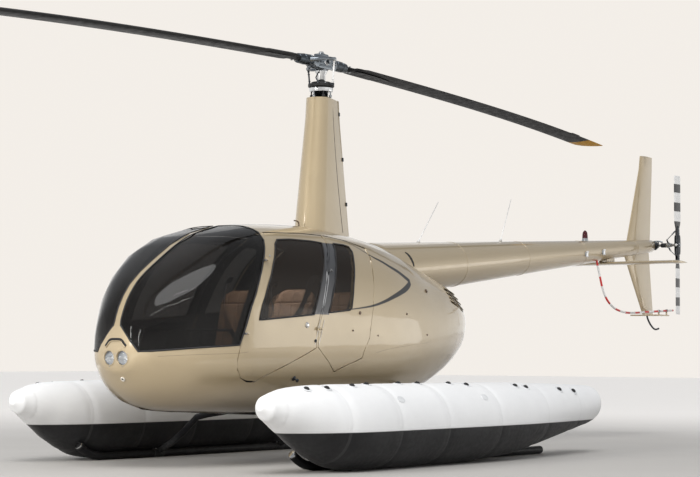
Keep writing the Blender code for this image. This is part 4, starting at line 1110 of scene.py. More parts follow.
def makeBladePaint():
    paint = newMaterial("rotorBladePaint", mainBlade["black"], 0.45, {"Specular IOR Level": 0.02})
    place = objectPlace(paint, 1.0, (0, -mastY, 0))
    x, y = axisValue(paint, place, 0), axisValue(paint, place, 1)
    # distance out along the blade, with the colour's edge slanted as on the real tip
    turn = radians(mainBlade["rotorTurn"])
    out = calc(paint, "SUBTRACT", calc(paint, "MULTIPLY", y, cos(turn)), calc(paint, "MULTIPLY", x, sin(turn)))
    side = calc(paint, "ADD", calc(paint, "MULTIPLY", x, cos(turn)), calc(paint, "MULTIPLY", y, sin(turn)))
    sign = calc(paint, "SIGN", out)
    reach = calc(paint, "ABSOLUTE", out)
    lead = calc(paint, "MULTIPLY", side, sign)
    slanted = calc(paint, "SUBTRACT", reach, calc(paint, "MULTIPLY", lead, 0.1))
    tip = spread(paint, slanted, 4.7, 4.704)
    worn = noise(paint, objectPlace(paint, (8, 1.2, 8)), 4.0, 5, 0.6)
    black = blendColour(paint, spread(paint, worn, 0.4, 0.7), mainBlade["black"], (0.022, 0.022, 0.023))
    yellow = blendColour(paint, spread(paint, worn, 0.4, 0.7), mainBlade["yellow"], (0.42, 0.21, 0.012))
    edge = spread(paint, lead, -0.128, -0.112, 1.0, 0.0)
    steel = calc(paint, "MULTIPLY", edge, 0.35)
    colour = blendColour(paint, steel, black, (0.1, 0.1, 0.1))
    feed(paint, "Base Color", blendColour(paint, tip, colour, yellow))
    setRange(paint, "Roughness", noise(paint, objectPlace(paint, 1.0), 18.0, 4), 0.3, 0.46)
    slight = addBump(paint, wave(paint, place, 0.5, "Y"), 0.02, 0.002)
    addBump(paint, noise(paint, objectPlace(paint, 1.0), 300.0, 3), 0.06, 0.0006, slight)
    return paint


def makeMainBlades():
    paint = makeBladePaint()
    for end, word in foreAft:
        rings = []
        rows = mainBlade["planform"]
        steps = []
        for i in range(len(rows) - 1):
            pieces = 10 if rows[i + 1][0] - rows[i][0] > 0.5 else 2
            steps += [i + k / pieces for k in range(pieces)]
        steps.append(len(rows) - 1)
        for u in steps:
            i = min(int(u), len(rows) - 2)
            t = u - i
            r, lead, trail, thick = (rows[i][c] + (rows[i + 1][c] - rows[i][c]) * t for c in range(4))
            ring = []
            for s, w in wingSection + ((airfoil[0][0], -airfoil[0][1]),):
                across = lead + (trail - lead) * s
                rise = bladeRise(r, end) + thick / 2 * w
                ring.append(rotorPlace(end * across, end * r, rise))
            rings.append(ring)
        add(paint, loftPiece, "bladeSkin_" + word, rings, body="main_rotor", smooth=40,
            replaced=("rotor_blade_" + word,), slot="black_paint")
        # trim tab on the trailing edge
        outline = [
            rotorPlace(end * a, end * r, bladeRise(r, end) - 0.0008)
            for a, r in ((0.122, 4.285), (0.148, 4.295), (0.148, 4.455), (0.122, 4.47))
        ]
        add(paint, platePiece, "trimTab_" + word, outline, (0, 0, 0.0016), 0.0005, 1, body="main_rotor",
            smooth=40)
        # root doublers above and below
        for face, label in ((1, "top"), (-1, "under")):
            outline = []
            for a, r in (
                (-0.06, 0.475), (-0.092, 0.53), (-0.096, 0.86), (-0.03, 1.02), (0.02, 1.04), (0.05, 0.82),
                (0.058, 0.53), (0.045, 0.475),
            ):
                outline.append(rotorPlace(end * a, end * r, bladeRise(r, end) + face * 0.015))
            add(paint, platePiece, "rootDoubler_" + word + "_" + label, outline, (0, 0, face * 0.0018), 0.0006,
                1, body="main_rotor", smooth=40)


# Seals round the glass

glass = {
    "sealRadius": 0.0042,
    "frontWindow": (
        (-1.585, 1.08), (-0.92, 1.134), (-0.8, 1.37), (-0.597, 1.7), (-0.74, 1.708), (-1.015, 1.707),
        (-1.19, 1.694), (-1.254, 1.655), (-1.362, 1.512), (-1.466, 1.34), (-1.548, 1.19),
    ),
    "rearWindow": (
        (-0.732, 1.152), (-0.456, 1.178), (-0.428, 1.195), (-0.367, 1.377), (-0.281, 1.562), (-0.232, 1.65),
        (-0.236, 1.688), (-0.3, 1.7), (-0.436, 1.704), (-0.53, 1.56),
    ),
    "lampCorners": ((0.196, 0.846), (0.133, 0.922), (0.034, 1.034)),
    "screenSide": (
        (-1.361, 1.681), (-1.407, 1.618), (-1.485, 1.51), (-1.585, 1.34), (-1.668, 1.175), (-1.727, 1.02),
        (-1.779, 0.897), (-2.071, 0.877), (-2.301, 0.854), (-2.4, 0.844),
    ),
    "postEdge": 0.03,
    "headY": -1.326,
}


def along(points, spacing, closed=True):
    # points closed up to a spacing, so that a bar can follow the skin
    result = []
    for first, second in zip(points, points[1:] + points[:1] if closed else points[1:]):
        a, b = Vector(first), Vector(second)
        steps = max(1, int((b - a).length / spacing))
        result += [tuple(a.lerp(b, i / steps)) for i in range(steps)]
    return result


def closedBar(name, points, radius, sides=8):
    rings = []
    count = len(points)
    for i in range(count + 1):
        ahead = (points[(i + 1) % count] - points[i - 1 if i else -1]).normalized()
        if i == count:
            ahead = (points[1] - points[-1]).normalized()
        out = skinNormal(points[i % count])[0]
        out = (out - out.dot(ahead) * ahead).normalized()
        across = ahead.cross(out)
        place = points[i % count]
        rings.append([
            place + radius * (1.5 * cos(2 * pi * k / sides) * across + 0.8 * sin(2 * pi * k / sides) * out)
            for k in range(sides)
        ])
    bar = loftPiece(name, rings, capped=False)
    tidyMesh(bar, 0.00005)
    return bar


def makeSeals():
    for side, word in leftRight:
        for key, place in (("frontWindow", "front"), ("rearWindow", "rear")):
            outline = along(list(glass[key]), 0.03)
            points = [skinPoint(side, y, z, 0.0005)[0] for y, z in outline]
            add("rubber", closedBar, "windowSeal_" + place + "_" + word, points, glass["sealRadius"],
                body="door_" + place + "_" + word, smooth=60)
        loop = [nosePoint(side * x, z, 0.0005) for x, z in glass["lampCorners"]]
        edge = glass["postEdge"]
        loop += [nosePoint(side * edge, 1.034 + 0.035 * i, 0.0005) for i in range(1, 10)]
        start = loop[-1].y - mastY
        steps = 22
        for i in range(1, steps + 1):
            loop.append(topPoint(side * edge, start + (glass["headY"] - start) * i / steps, 0.0005))
        for i in range(1, 9):
            x = edge + (0.42 - edge) * i / 8
            loop.append(topPoint(side * x, glass["headY"] - 0.003 * (i > 5), 0.0005))
        sides = list(glass["screenSide"])
        loop += [skinPoint(side, y, z, 0.0005)[0] for y, z in along(sides, 0.04, False)]
        add("rubber", closedBar, "screenSeal_" + word, loop, glass["sealRadius"], smooth=60)


# Small fittings on the skin: y, z, door, radius, height, paint

fittings = {
    "latchFront": (-1.009, 1.053, "door_front", 0.017, 0.01, "chrome"),
    "lockFront": (-0.905, 0.934, "door_front", 0.011, 0.007, "darkSteel"),
    "latchRear": (-0.321, 1.159, "door_rear", 0.011, 0.006, "burnt"),
    "lockRear": (-0.42, 1.02, "door_rear", 0.006, 0.005, "burnt"),
    "cowlCatch": (0.356, 1.165, None, 0.007, 0.004, "burnt"),
    "cowlCatchLow": (0.7, 1.0, None, 0.006, 0.004, "burnt"),
    "filler": (0.805, 1.368, None, 0.013, 0.006, "burnt"),
    "pillarScrew": (-1.383, 1.56, None, 0.006, 0.003, "steel"),
    "staticPort": (-0.08, 0.985, None, 0.006, 0.002, "burnt"),
}


def makeFittings():
    for name, (y, z, door, radius, height, paint) in fittings.items():
        for side, word in leftRight:
            place, normal = skinPoint(side, y, z)
            body = door + "_" + word if door else "airframe"
            add(paint, turnedPiece, name + "_" + word, place - 0.003 * normal, normal, (
                (0, radius * 1.25), (0.0042, radius * 1.25), (0.005, radius * 1.1), (0.0052, radius),
                (0.003 + height * 0.8, radius * 0.94), (0.003 + height, radius * 0.7),
                (0.003 + height * 1.02, radius * 0.3),
            ), 24, body=body, slot="bare_steel")
    # step under each front door, raised door edges and the vent on the nose
    for side, word in leftRight:
        place, normal = skinPoint(side, -1.109, 0.652)
        add("darkSteel", turnedPiece, "stepStem_" + word, place - 0.004 * normal, normal, (
            (0, 0.02), (0.008, 0.019), (0.012, 0.009), (0.034, 0.0085), (0.036, 0.014), (0.044, 0.014),
            (0.047, 0.01),
        ), 20)
        for place, low, high in (("front", -0.912, -0.845), ("rear", -0.862, -0.794)):
            line = []
            for i in range(7):
                line.append(skinPoint(side, low + (high - low) * i / 6, 0.904 + 0.19 * i / 6, 0.0004)[0])
            add("trim", sweptPiece, "doorEdge_" + place + "_" + word, line, strapSection(0.0045, 0.0022), 16,
                (side, 0, 0), body="door_" + place + "_" + word, smooth=40)
    vent = nosePoint(0.026, 0.65)
    normal = skinNormal(vent)[0]
    add("trim", turnedPiece, "noseVent", vent - 0.003 * normal, normal, (
        (0, 0.019), (0.006, 0.019), (0.011, 0.016), (0.011, 0.011), (0.003, 0.01),
    ), 24)
    add("rubber", turnedPiece, "noseVentCore", vent, normal, (
        (0, 0.0105), (0.002, 0.0105), (0.0035, 0.007),
    ), 20)


# Nose lamps: bowl, bulb, lens and bezel, and the air slot above

lamps = {"x": 0.062, "z": 0.8, "back": -2.335, "radius": 0.0515}


def makeLamps():
    r = lamps["radius"]
    for side, word in leftRight:
        at = world(side * lamps["x"], lamps["back"], lamps["z"])
        ahead = (0, -1, 0)
        add("chrome", turnedPiece, "lampBowl_" + word, at, ahead, (
            (0, 0.016), (0.004, 0.022), (0.022, 0.04), (0.045, 0.049), (0.06, r), (0.071, r),
            (0.071, r - 0.003), (0.06, r - 0.0035), (0.045, 0.0455), (0.028, 0.038), (0.014, 0.026),
            (0.01, 0.01), (0.0098, 0.002),
        ), 48, smooth=40, replaced=("landing_lamps",) if side > 0 else ())
        add("lampGlow", turnedPiece, "lampBulb_" + word, at, ahead, (
            (0.01, 0.01), (0.02, 0.01), (0.024, 0.006), (0.03, 0.008), (0.038, 0.0095), (0.046, 0.0075),
            (0.05, 0.003),
        ), 24, smooth=60)
        add("lens", turnedPiece, "lampLens_" + word, at, ahead, (
            (0.0605, r - 0.0036), (0.064, r - 0.0036), (0.0665, r * 0.75), (0.0682, r * 0.45),
            (0.0688, r * 0.12),
        ), 48, smooth=40)

        def around(a, reach, proud):
            return nosePoint(side * lamps["x"] + reach * cos(a), lamps["z"] + reach * sin(a), proud)

        ring = [around(2 * pi * i / 40, r + 0.003, 0.0008) for i in range(40)]
        add("body", closedBar, "lampBezel_" + word, ring, 0.0026, smooth=60)
        for i in range(3):
            place = around(radians(30 + 120 * i), r + 0.01, -0.001)
            add("steel", turnedPiece, "bezelScrew_" + word + str(i), place, skinNormal(place)[0], (
                (0, 0.0035), (0.0018, 0.0033), (0.0026, 0.0018),
            ), 12, smooth=40)
    slot = [nosePoint(x, z, 0.001) for x, z in (
        (-0.098, 0.886), (-0.08, 0.905), (-0.052, 0.93), (0.0, 0.934), (0.052, 0.93), (0.08, 0.905),
        (0.098, 0.886),
    )]
    add("rubber", sweptPiece, "airSlot", slot, [(a * 1.4, b * 0.8) for a, b in roundSection(0.006, 10)], 36,
        (0, -1, 0), smooth=50)
    lip = [nosePoint(x, z, 0.003) for x, z in (
        (-0.092, 0.876), (-0.073, 0.893), (-0.048, 0.916), (0.0, 0.921), (0.048, 0.916), (0.073, 0.893),
        (0.092, 0.876),
    )]
    add("body", sweptPiece, "airSlotLip", lip, roundSection(0.0045, 10), 36, (0, -1, 0), smooth=50)


# Seats: stuffed leather cushions on the seat boxes

seats = {
    "x": 0.2725,
    "width": 0.43,
    "pan": {"depth": 0.5, "height": 0.098},
    "back": {"height": 0.59, "thick": 0.08, "corner": 0.13},
    # seat, pan's front y, pan's base z, back's foot y, z, lean in degrees
    "places": (
        ("front", -1.252, 0.683, -0.745, 0.792, 13.0),
        ("rear", -0.446, 0.703, -0.045, 0.802, 2.0),
    ),
    # the cloth that swells the covers
    "pressure": 3.0,
    "tension": 25,
    "bending": 2,
    "frames": 20,
    "voxel": 0.007,
    "cap": 0.012,
}


def stuff(cushion):
    swell(cushion)
    soft = cushion.modifiers.new("soft", "SUBSURF")
    soft.levels = soft.render_levels = 1
    applyAll(cushion)


def swell(cushion):
    pick(cushion)
    skin = cushion.modifiers.new("skin", "REMESH")
    skin.mode = "VOXEL"
    skin.voxel_size = seats["voxel"]
    applyAll(cushion)
    before = [corner.co.copy() for corner in cushion.data.vertices]
    cloth = cushion.modifiers.new("stuffing", "CLOTH")
    cloth.settings.use_pressure = True
    cloth.settings.uniform_pressure_force = seats["pressure"]
    cloth.settings.effector_weights.gravity = 0
    cloth.settings.tension_stiffness = seats["tension"]
    cloth.settings.bending_stiffness = seats["bending"]
    scene = bpy.context.scene
    for step in range(1, seats["frames"] + 1):
        scene.frame_set(step)
    applyAll(cushion)
    scene.frame_set(1)
    for corner, old in zip(cushion.data.vertices, before):
        move = corner.co - old
        if move.length > seats["cap"]:
            corner.co = old + move.normalized() * seats["cap"]
    smooth = cushion.modifiers.new("even", "SMOOTH")
    smooth.factor = 0.5
    smooth.iterations = 3
    applyAll(cushion)


def cushionBlock(name, width, depth, height, corner):
    # a plate with rounded corners and edges, cut into a grid for the cloth
    outline = []
    inset = seats["cap"] * 0.8
    w, d = width / 2 - inset, depth / 2 - inset
    for sx, sy, start in corners:
        r = corner if sy > 0 else 0.05
        for i in range(7):
            a = radians(start + 15 * i)
            outline.append(Vector((sx * (w - r) + r * cos(a), sy * (d - r) + r * sin(a), inset)))
    block = platePiece(name, outline, (0, 0, height - 2 * inset))
    roundEdges(block, 0.022, 4, 50)
    pick(block)
    bpy.ops.object.mode_set(mode="EDIT")
    for k in range(1, 12):
        for axis, span in ((1, depth), (0, width)):
            bpy.ops.mesh.select_all(action="SELECT")
            place = [0, 0, 0]
            place[axis] = -span / 2 + span * k / 12
            bpy.ops.mesh.bisect(plane_co=tuple(place), plane_no=(axis == 0, axis == 1, 0))
    bpy.ops.object.mode_set(mode="OBJECT")
    tidyMesh(block)
    return block


def sewn(cushion, height, depth, cross, halfWidth, halfDepth):
    # channels pressed into the top after the cover is stuffed: three lengthways and one across
    lines = [(0, place, depth) for place in (-0.11, 0.0, 0.11)] + [(1, cross, 0.007)]
    for corner in cushion.data.vertices:
        if corner.co.z > height * 0.5:
            for axis, place, press in lines:
                if abs(corner.co.x) < halfWidth and abs(corner.co.y) < halfDepth:
                    corner.co.z -= press * exp(-((corner.co[axis] - place) / 0.007) ** 2)


def makeSeats():
    pan, back = seats["pan"], seats["back"]
    base = cushionBlock("seatPanModel", seats["width"], pan["depth"], pan["height"], 0.05)
    stuff(base)
    w, d = seats["width"] / 2 - 0.03, pan["depth"] / 2 - 0.03
    sewn(base, pan["height"], 0.007, 0.15, w, d)
    rest = cushionBlock("seatBackModel", seats["width"], back["height"], back["thick"], back["corner"])
    stuff(rest)
    w, d = seats["width"] / 2 - 0.035, back["height"] / 2 - 0.035
    sewn(rest, back["thick"], 0.006, 0.16, w, d)
    for model in (base, rest):
        pick(model)
        bpy.ops.object.shade_smooth()
    for place, front, low, footY, footZ, lean in seats["places"]:
        tall = 1.0 if place == "front" else 0.965
        for side, word in leftRight:
            depth = (footY - front) if place == "front" else 0.4
            fit = Matrix.Diagonal((1, depth / pan["depth"], 1, 1))
            at = world(side * seats["x"], front + depth / 2, low)
            cushion = copied(base, "seatCushion_" + place + "_" + word, Matrix.Translation(at) @ fit)
            finishPiece(cushion, "leather", "airframe", 0, ("seat_" + place + "_" + word,), "brown_leather")
            # the back's plate lies flat with its top to +Y: it is stood up and leant back
            up = Matrix.Rotation(radians(90 - lean), 4, "X")
            foot = world(side * seats["x"], footY, footZ - 0.02)
            shape = Matrix.Translation((0, back["height"] / 2 * tall, 0)) @ Matrix.Diagonal((1, tall, 1, 1))
            rise = Matrix.Translation(foot) @ up @ shape
            behind = copied(rest, "seatBack_" + place + "_" + word, rise)
            finishPiece(behind, "leather", "airframe", 0, (), "brown_leather")
    for model in (base, rest):
        bpy.data.objects.remove(model)


belts = {"width": 0.048, "thick": 0.0022}


def makeBelts():
    section = strapSection(belts["width"], belts["thick"])
    for place, front, low, footY, footZ, lean in seats["places"]:
        top = 1.395 if place == "front" else 1.375
        shift = tan(radians(lean))
        for side, word in leftRight:
            x = side * seats["x"]

            def face(z, out=0.0):
                # the back cushion's front at a height
                return footY + (z - footZ) * shift - 0.088 - out

            shoulder = [
                world(x + side * 0.165, face(top) + 0.1, top + 0.035),
                world(x + side * 0.155, face(top) + 0.02, top + 0.012),
                world(x + side * 0.135, face(1.25), 1.25), world(x + side * 0.06, face(1.1, 0.004), 1.1),
                world(x - side * 0.06, face(0.96, 0.008), 0.96),
                world(x - side * 0.175, face(0.87, 0.016), 0.865),
            ]
            add("webbing", sweptPiece, "shoulderBelt_" + place + "_" + word, shoulder, section, 40, (0, -1, 0),
                smooth=30)
            high = low + seats["pan"]["height"] + 0.006
            lap = [
                world(x + side * 0.205, footY - 0.06, high - 0.02),
                world(x + side * 0.17, footY - 0.13, high + 0.012),
                world(x + side * 0.05, footY - 0.17, high + 0.014),
                world(x - side * 0.09, footY - 0.16, high + 0.014),
                world(x - side * 0.18, footY - 0.1, high + 0.012),
            ]
            add("webbing", sweptPiece, "lapBelt_" + place + "_" + word, lap, section, 36, (0, 0, 1), smooth=30)
            at = world(x - side * 0.185, footY - 0.105, high + 0.006)
            lowCorner, highCorner = at - Vector((0.022, 0.034, 0.0)), at + Vector((0.022, 0.034, 0.02))
            add("interior", boxPiece, "buckle_" + place + "_" + word, lowCorner, highCorner, 0.006, 3, 0.9,
                smooth=40)
            lowCorner, highCorner = at + Vector((-0.013, 0.008, 0.016)), at + Vector((0.013, 0.028, 0.0225))
            add("red", boxPiece, "buckleButton_" + place + "_" + word, lowCorner, highCorner, 0.002, 2, 0.9,
                smooth=40)


# Controls and instruments

panel = {
    "gauges": ((-0.06, 0.905), (0.0, 0.905), (0.06, 0.905), (-0.06, 0.975), (0.0, 0.975), (0.06, 0.975)),
    "radius": 0.027,
}


def makeCabinDetails():
    for node in ("cabin_floor", "firewall"):
        softCopy(node, "carpet", 30, 0.004)
    softCopy("console", "interior", 35, 0.012)
    softCopy("pedals", "darkSteel", 35, 0.002)
    softCopy("cyclic_stick", "dark", 40)
    softCopy("engine_block", "darkSteel", 35, 0.01)
    softCopy("exhaust_pipe", "burnt", 40)
    outward = Vector((0, 0.98, 0.206)).normalized()
    across = Vector((1, 0, 0))
    up = outward.cross(across)
    r = panel["radius"]
    for i, (x, z) in enumerate(panel["gauges"]):
        y = -1.76 - (z - 0.86) * 0.2105
        at = world(x, y, z) - 0.001 * outward
        add("interior", turnedPiece, "gaugeBezel" + str(i), at, outward, (
            (0, r), (0.008, r), (0.01, r * 0.93), (0.01, r * 0.86), (0.004, r * 0.84), (0.0035, r * 0.3),
        ), 32)
        for k in range(9):
            a = radians(-130 + 32.5 * k)
            ray = sin(a) * across + cos(a) * up
            side = cos(a) * across - sin(a) * up
            mid = at + 0.0042 * outward
            outline = [mid + ray * (r * reach) + side * half for reach, half in (
                (0.66, 0.0006), (0.8, 0.0006), (0.8, -0.0006), (0.66, -0.0006),
            )]
            add("white", platePiece, "gaugeMark" + str(i) + "_" + str(k), outline, tuple(0.0004 * outward),
                0.0001, 1, smooth=0)
        a = radians(-60 + 37 * i)
        ray = sin(a) * across + cos(a) * up
        side = outward.cross(ray)
        mid = at + 0.0052 * outward
        outline = [mid + ray * reach + side * half for reach, half in (
            (-0.005, 0.0012), (r * 0.62, 0.0003), (r * 0.62, -0.0003), (-0.005, -0.0012),
        )]
        add("white", platePiece, "gaugeNeedle" + str(i), outline, tuple(0.0005 * outward), 0.0001, 1, smooth=0)
    add("interior", platePiece, "panelHood", [world(x, y, z) for x, y, z in (
        (-0.132, -1.778, 1.052), (0.132, -1.778, 1.052), (0.118, -1.99, 0.998), (-0.118, -1.99, 0.998),
    )], (0, 0, 0.014), 0.006, 3, smooth=40)
    for side, word in leftRight:
        grip = [world(side * x, -1.5, z) for x, z in ((0.302, 1.008), (0.33, 0.972), (0.364, 0.925))]
        add("rubber", sweptPiece, "cyclicGrip_" + word, grip, roundSection(0.0175, 16), 18, (0, 0, 1),
            smooth=50)
        add("red", turnedPiece, "cyclicButton_" + word, world(side * 0.306, -1.5, 1.016), (0, 0, 1), (
            (0, 0.009), (0.008, 0.009), (0.012, 0.006), (0.0125, 0.002),
        ), 16, smooth=40)
        # lever between the seat and the door, with its twist grip
        lever = [world(side * 0.035, y, z) for y, z in ((-0.8, 0.712), (-1.0, 0.745), (-1.2, 0.8))]
        add("dark", sweptPiece, "collectiveLever_" + word, lever, roundSection(0.01, 12), 16, (0, 0, 1),
            smooth=50)
        held = [lever[1].lerp(lever[2], 0.45), lever[1].lerp(lever[2], 0.75), lever[2]]
        add("rubber", sweptPiece, "collectiveGrip_" + word, held, roundSection(0.0165, 16), 10, (0, 0, 1),
            smooth=50)


# Float fittings, nose caps and the gear

gear = {
    "skidX": 1.045,
    "radius": 0.0327,
    "rise": ((-1.7, 0.122), (-1.665, 0.097), (-1.61, 0.067), (-1.545, 0.044), (-1.47, 0.034)),
}


def floatPoint(side, y, angle, proud=0.0):
    radius, height, inboard = floatStation(y)
    a = radians(angle)
    out = Vector((side * cos(a), 0, sin(a)))
    return world(side * (floats["middle"] - inboard), y, height) + (radius + proud) * out, out


def makeGear():
    for side, word in leftRight:
        for i, (y, angle) in enumerate(floats["fittings"]):
            place, out = floatPoint(side, y, angle, -0.002)
            add("floatPatch", turnedPiece, "floatPatch_" + word + str(i), place, out, (
                (0, 0.04), (0.0034, 0.04), (0.0042, 0.037),
            ), 28)
            add("rubber", turnedPiece, "floatCap_" + word + str(i), place, out, (
                (0.003, 0.021), (0.01, 0.021), (0.012, 0.019), (0.013, 0.014), (0.017, 0.013),
                (0.018, 0.008),
            ), 24)
        for i, (y, angle) in enumerate(floats["patches"]):
            rings = []
            for k in range(7):
                reach = 0.075 * k / 6
                wide = 0.026 * (1 - ((k - 3) / 3.3) ** 2) ** 0.5 + 0.004
                ring = []
                for turn, lift in ((-1, 0.0), (-1, 0.0022), (0, 0.0032), (1, 0.0022), (1, 0.0)):
                    ring.append(floatPoint(side, y + reach, angle + turn * wide / 0.31 * 57.3, lift)[0])
                rings.append(ring)
            add("floatPatch", loftPiece, "floatBadge_" + word + str(i), rings, smooth=40)
        rings = []
        for proud, ahead in ((-0.02, 0.0056), (-0.01, 0.005), (-0.002, 0.003)):
            tip = [floatPoint(side, -2.262, 7.5 * n, proud)[0] for n in range(48)]
            rings.append([point - Vector((0, ahead, 0)) for point in tip])
        for k in range(13):
            y = -2.262 + 0.15 * k / 12
            rings.append([floatPoint(side, y, 7.5 * n, 0.0022 if k < 12 else 0.0)[0] for n in range(48)])
        add("floatFabric", loftPiece, "floatNose_" + word, rings, smooth=50)
        # skid tube, bent up in front, with its end caps
        x = side * gear["skidX"]
        line = [world(x, y, z) for y, z in gear["rise"]] + [world(x, -1.38, 0.0328), world(x, 1.745, 0.0328)]
        path = smoothPath(line[:6], 24) + [line[6]]
        rings = []
        for i, place in enumerate(path):
            ahead = (path[min(i + 1, len(path) - 1)] - path[max(i - 1, 0)]).normalized()
            up = Vector((1, 0, 0)).cross(ahead)
            rings.append([
                place + gear["radius"] * (cos(2 * pi * k / 24) * Vector((1, 0, 0)) + sin(2 * pi * k / 24) * up)
                for k in range(24)
            ])
        add("skid", loftPiece, "skidTubeSkin_" + word, rings, smooth=40, replaced=("skid_tube_" + word,))
        ahead = (line[0] - line[1]).normalized()
        add("chrome", turnedPiece, "skidCap_" + word, line[0] - 0.012 * ahead, ahead, (
            (0, 0.03), (0.01, 0.03), (0.013, 0.0312), (0.019, 0.029), (0.022, 0.018), (0.0225, 0.004),
        ), 28, smooth=40)
        # girt: the fabric skirt laced along the tube
        rings = []
        for k in range(41):
            y = -1.43 + 1.9 * k / 40
            ring = []
            for turn, lift in ((-8, 0.0004), (-8, 0.003), (0, 0.004), (14, 0.004), (26, 0.003), (26, 0.0004)):
                ring.append(floatPoint(side, y, 234 + turn, lift)[0])
            rings.append(ring)
        add("rubber", loftPiece, "girt_" + word, rings, smooth=40, slot="float_fabric")
        # saddles that clamp the cross tubes
        for place, y in (("front", -0.8), ("rear", 0.78)):
            at = world(x, y - 0.055, gear["radius"])
            saddle = ringPiece("saddle_" + place + "_" + word, at, (0, 1, 0), (
                (0, 0.0328), (0, 0.0385), (0.006, 0.041), (0.104, 0.041), (0.11, 0.0385), (0.11, 0.0328),
            ), 32)
            for corner in saddle.data.vertices:
                corner.co.z = max(corner.co.z, 0.001)
            finishPiece(saddle, "skid", "airframe", 40, slot="dark_trim")
            for k in (0.02, 0.09):
                top = at + Vector((-side * 0.02, k, 0.035))
                name = "saddleBolt_" + place + "_" + word + str(int(k * 1000))
                add("steel", hexHead, name, top, (-side * 0.5, 0, 1), 0.015, 0.008, smooth=30)
    for place in ("front", "rear"):
        softCopy("cross_tube_" + place, "skid", 60)


# Rotor head, drawn with the blades along Y and turned with them

head = {
    "plate": (
        (-0.165, 3.196), (-0.14, 3.18), (-0.06, 3.176), (0.06, 3.176), (0.14, 3.18), (0.165, 3.196),
        (0.165, 3.256), (0.14, 3.272), (0.075, 3.28), (-0.075, 3.28), (-0.14, 3.272), (-0.165, 3.256),
    ),
    "hinge": 0.125,
    "hornX": 0.132,
    "hornTop": {"aft": 3.188, "forward": 3.248},
}


def rotorWay(x, y, z):
    return rotorPlace(x, y, z) - rotorPlace(0, 0, 0)


def rotorBolt(name, x, y, z, across, height, shank):
    # washer and hexagon on the outer face of a hub plate
    side = 1 if x > 0 else -1
    way = rotorWay(side, 0, 0)
    add("steel", turnedPiece, name + "Washer", rotorPlace(x, y, z), way, (
        (0, shank * 1.9), (0.003, shank * 1.9), (0.004, shank * 1.7),
    ), 28, body="main_rotor")
    add("hubSteel", hexHead, name, rotorPlace(x + side * 0.0035, y, z), way, across, height, body="main_rotor",
        smooth=30)
    add("steel", turnedPiece, name + "End", rotorPlace(x + side * height, y, z), way, (
        (0, shank), (0.0055, shank), (0.0065, shank * 0.8),
    ), 20, body="main_rotor")


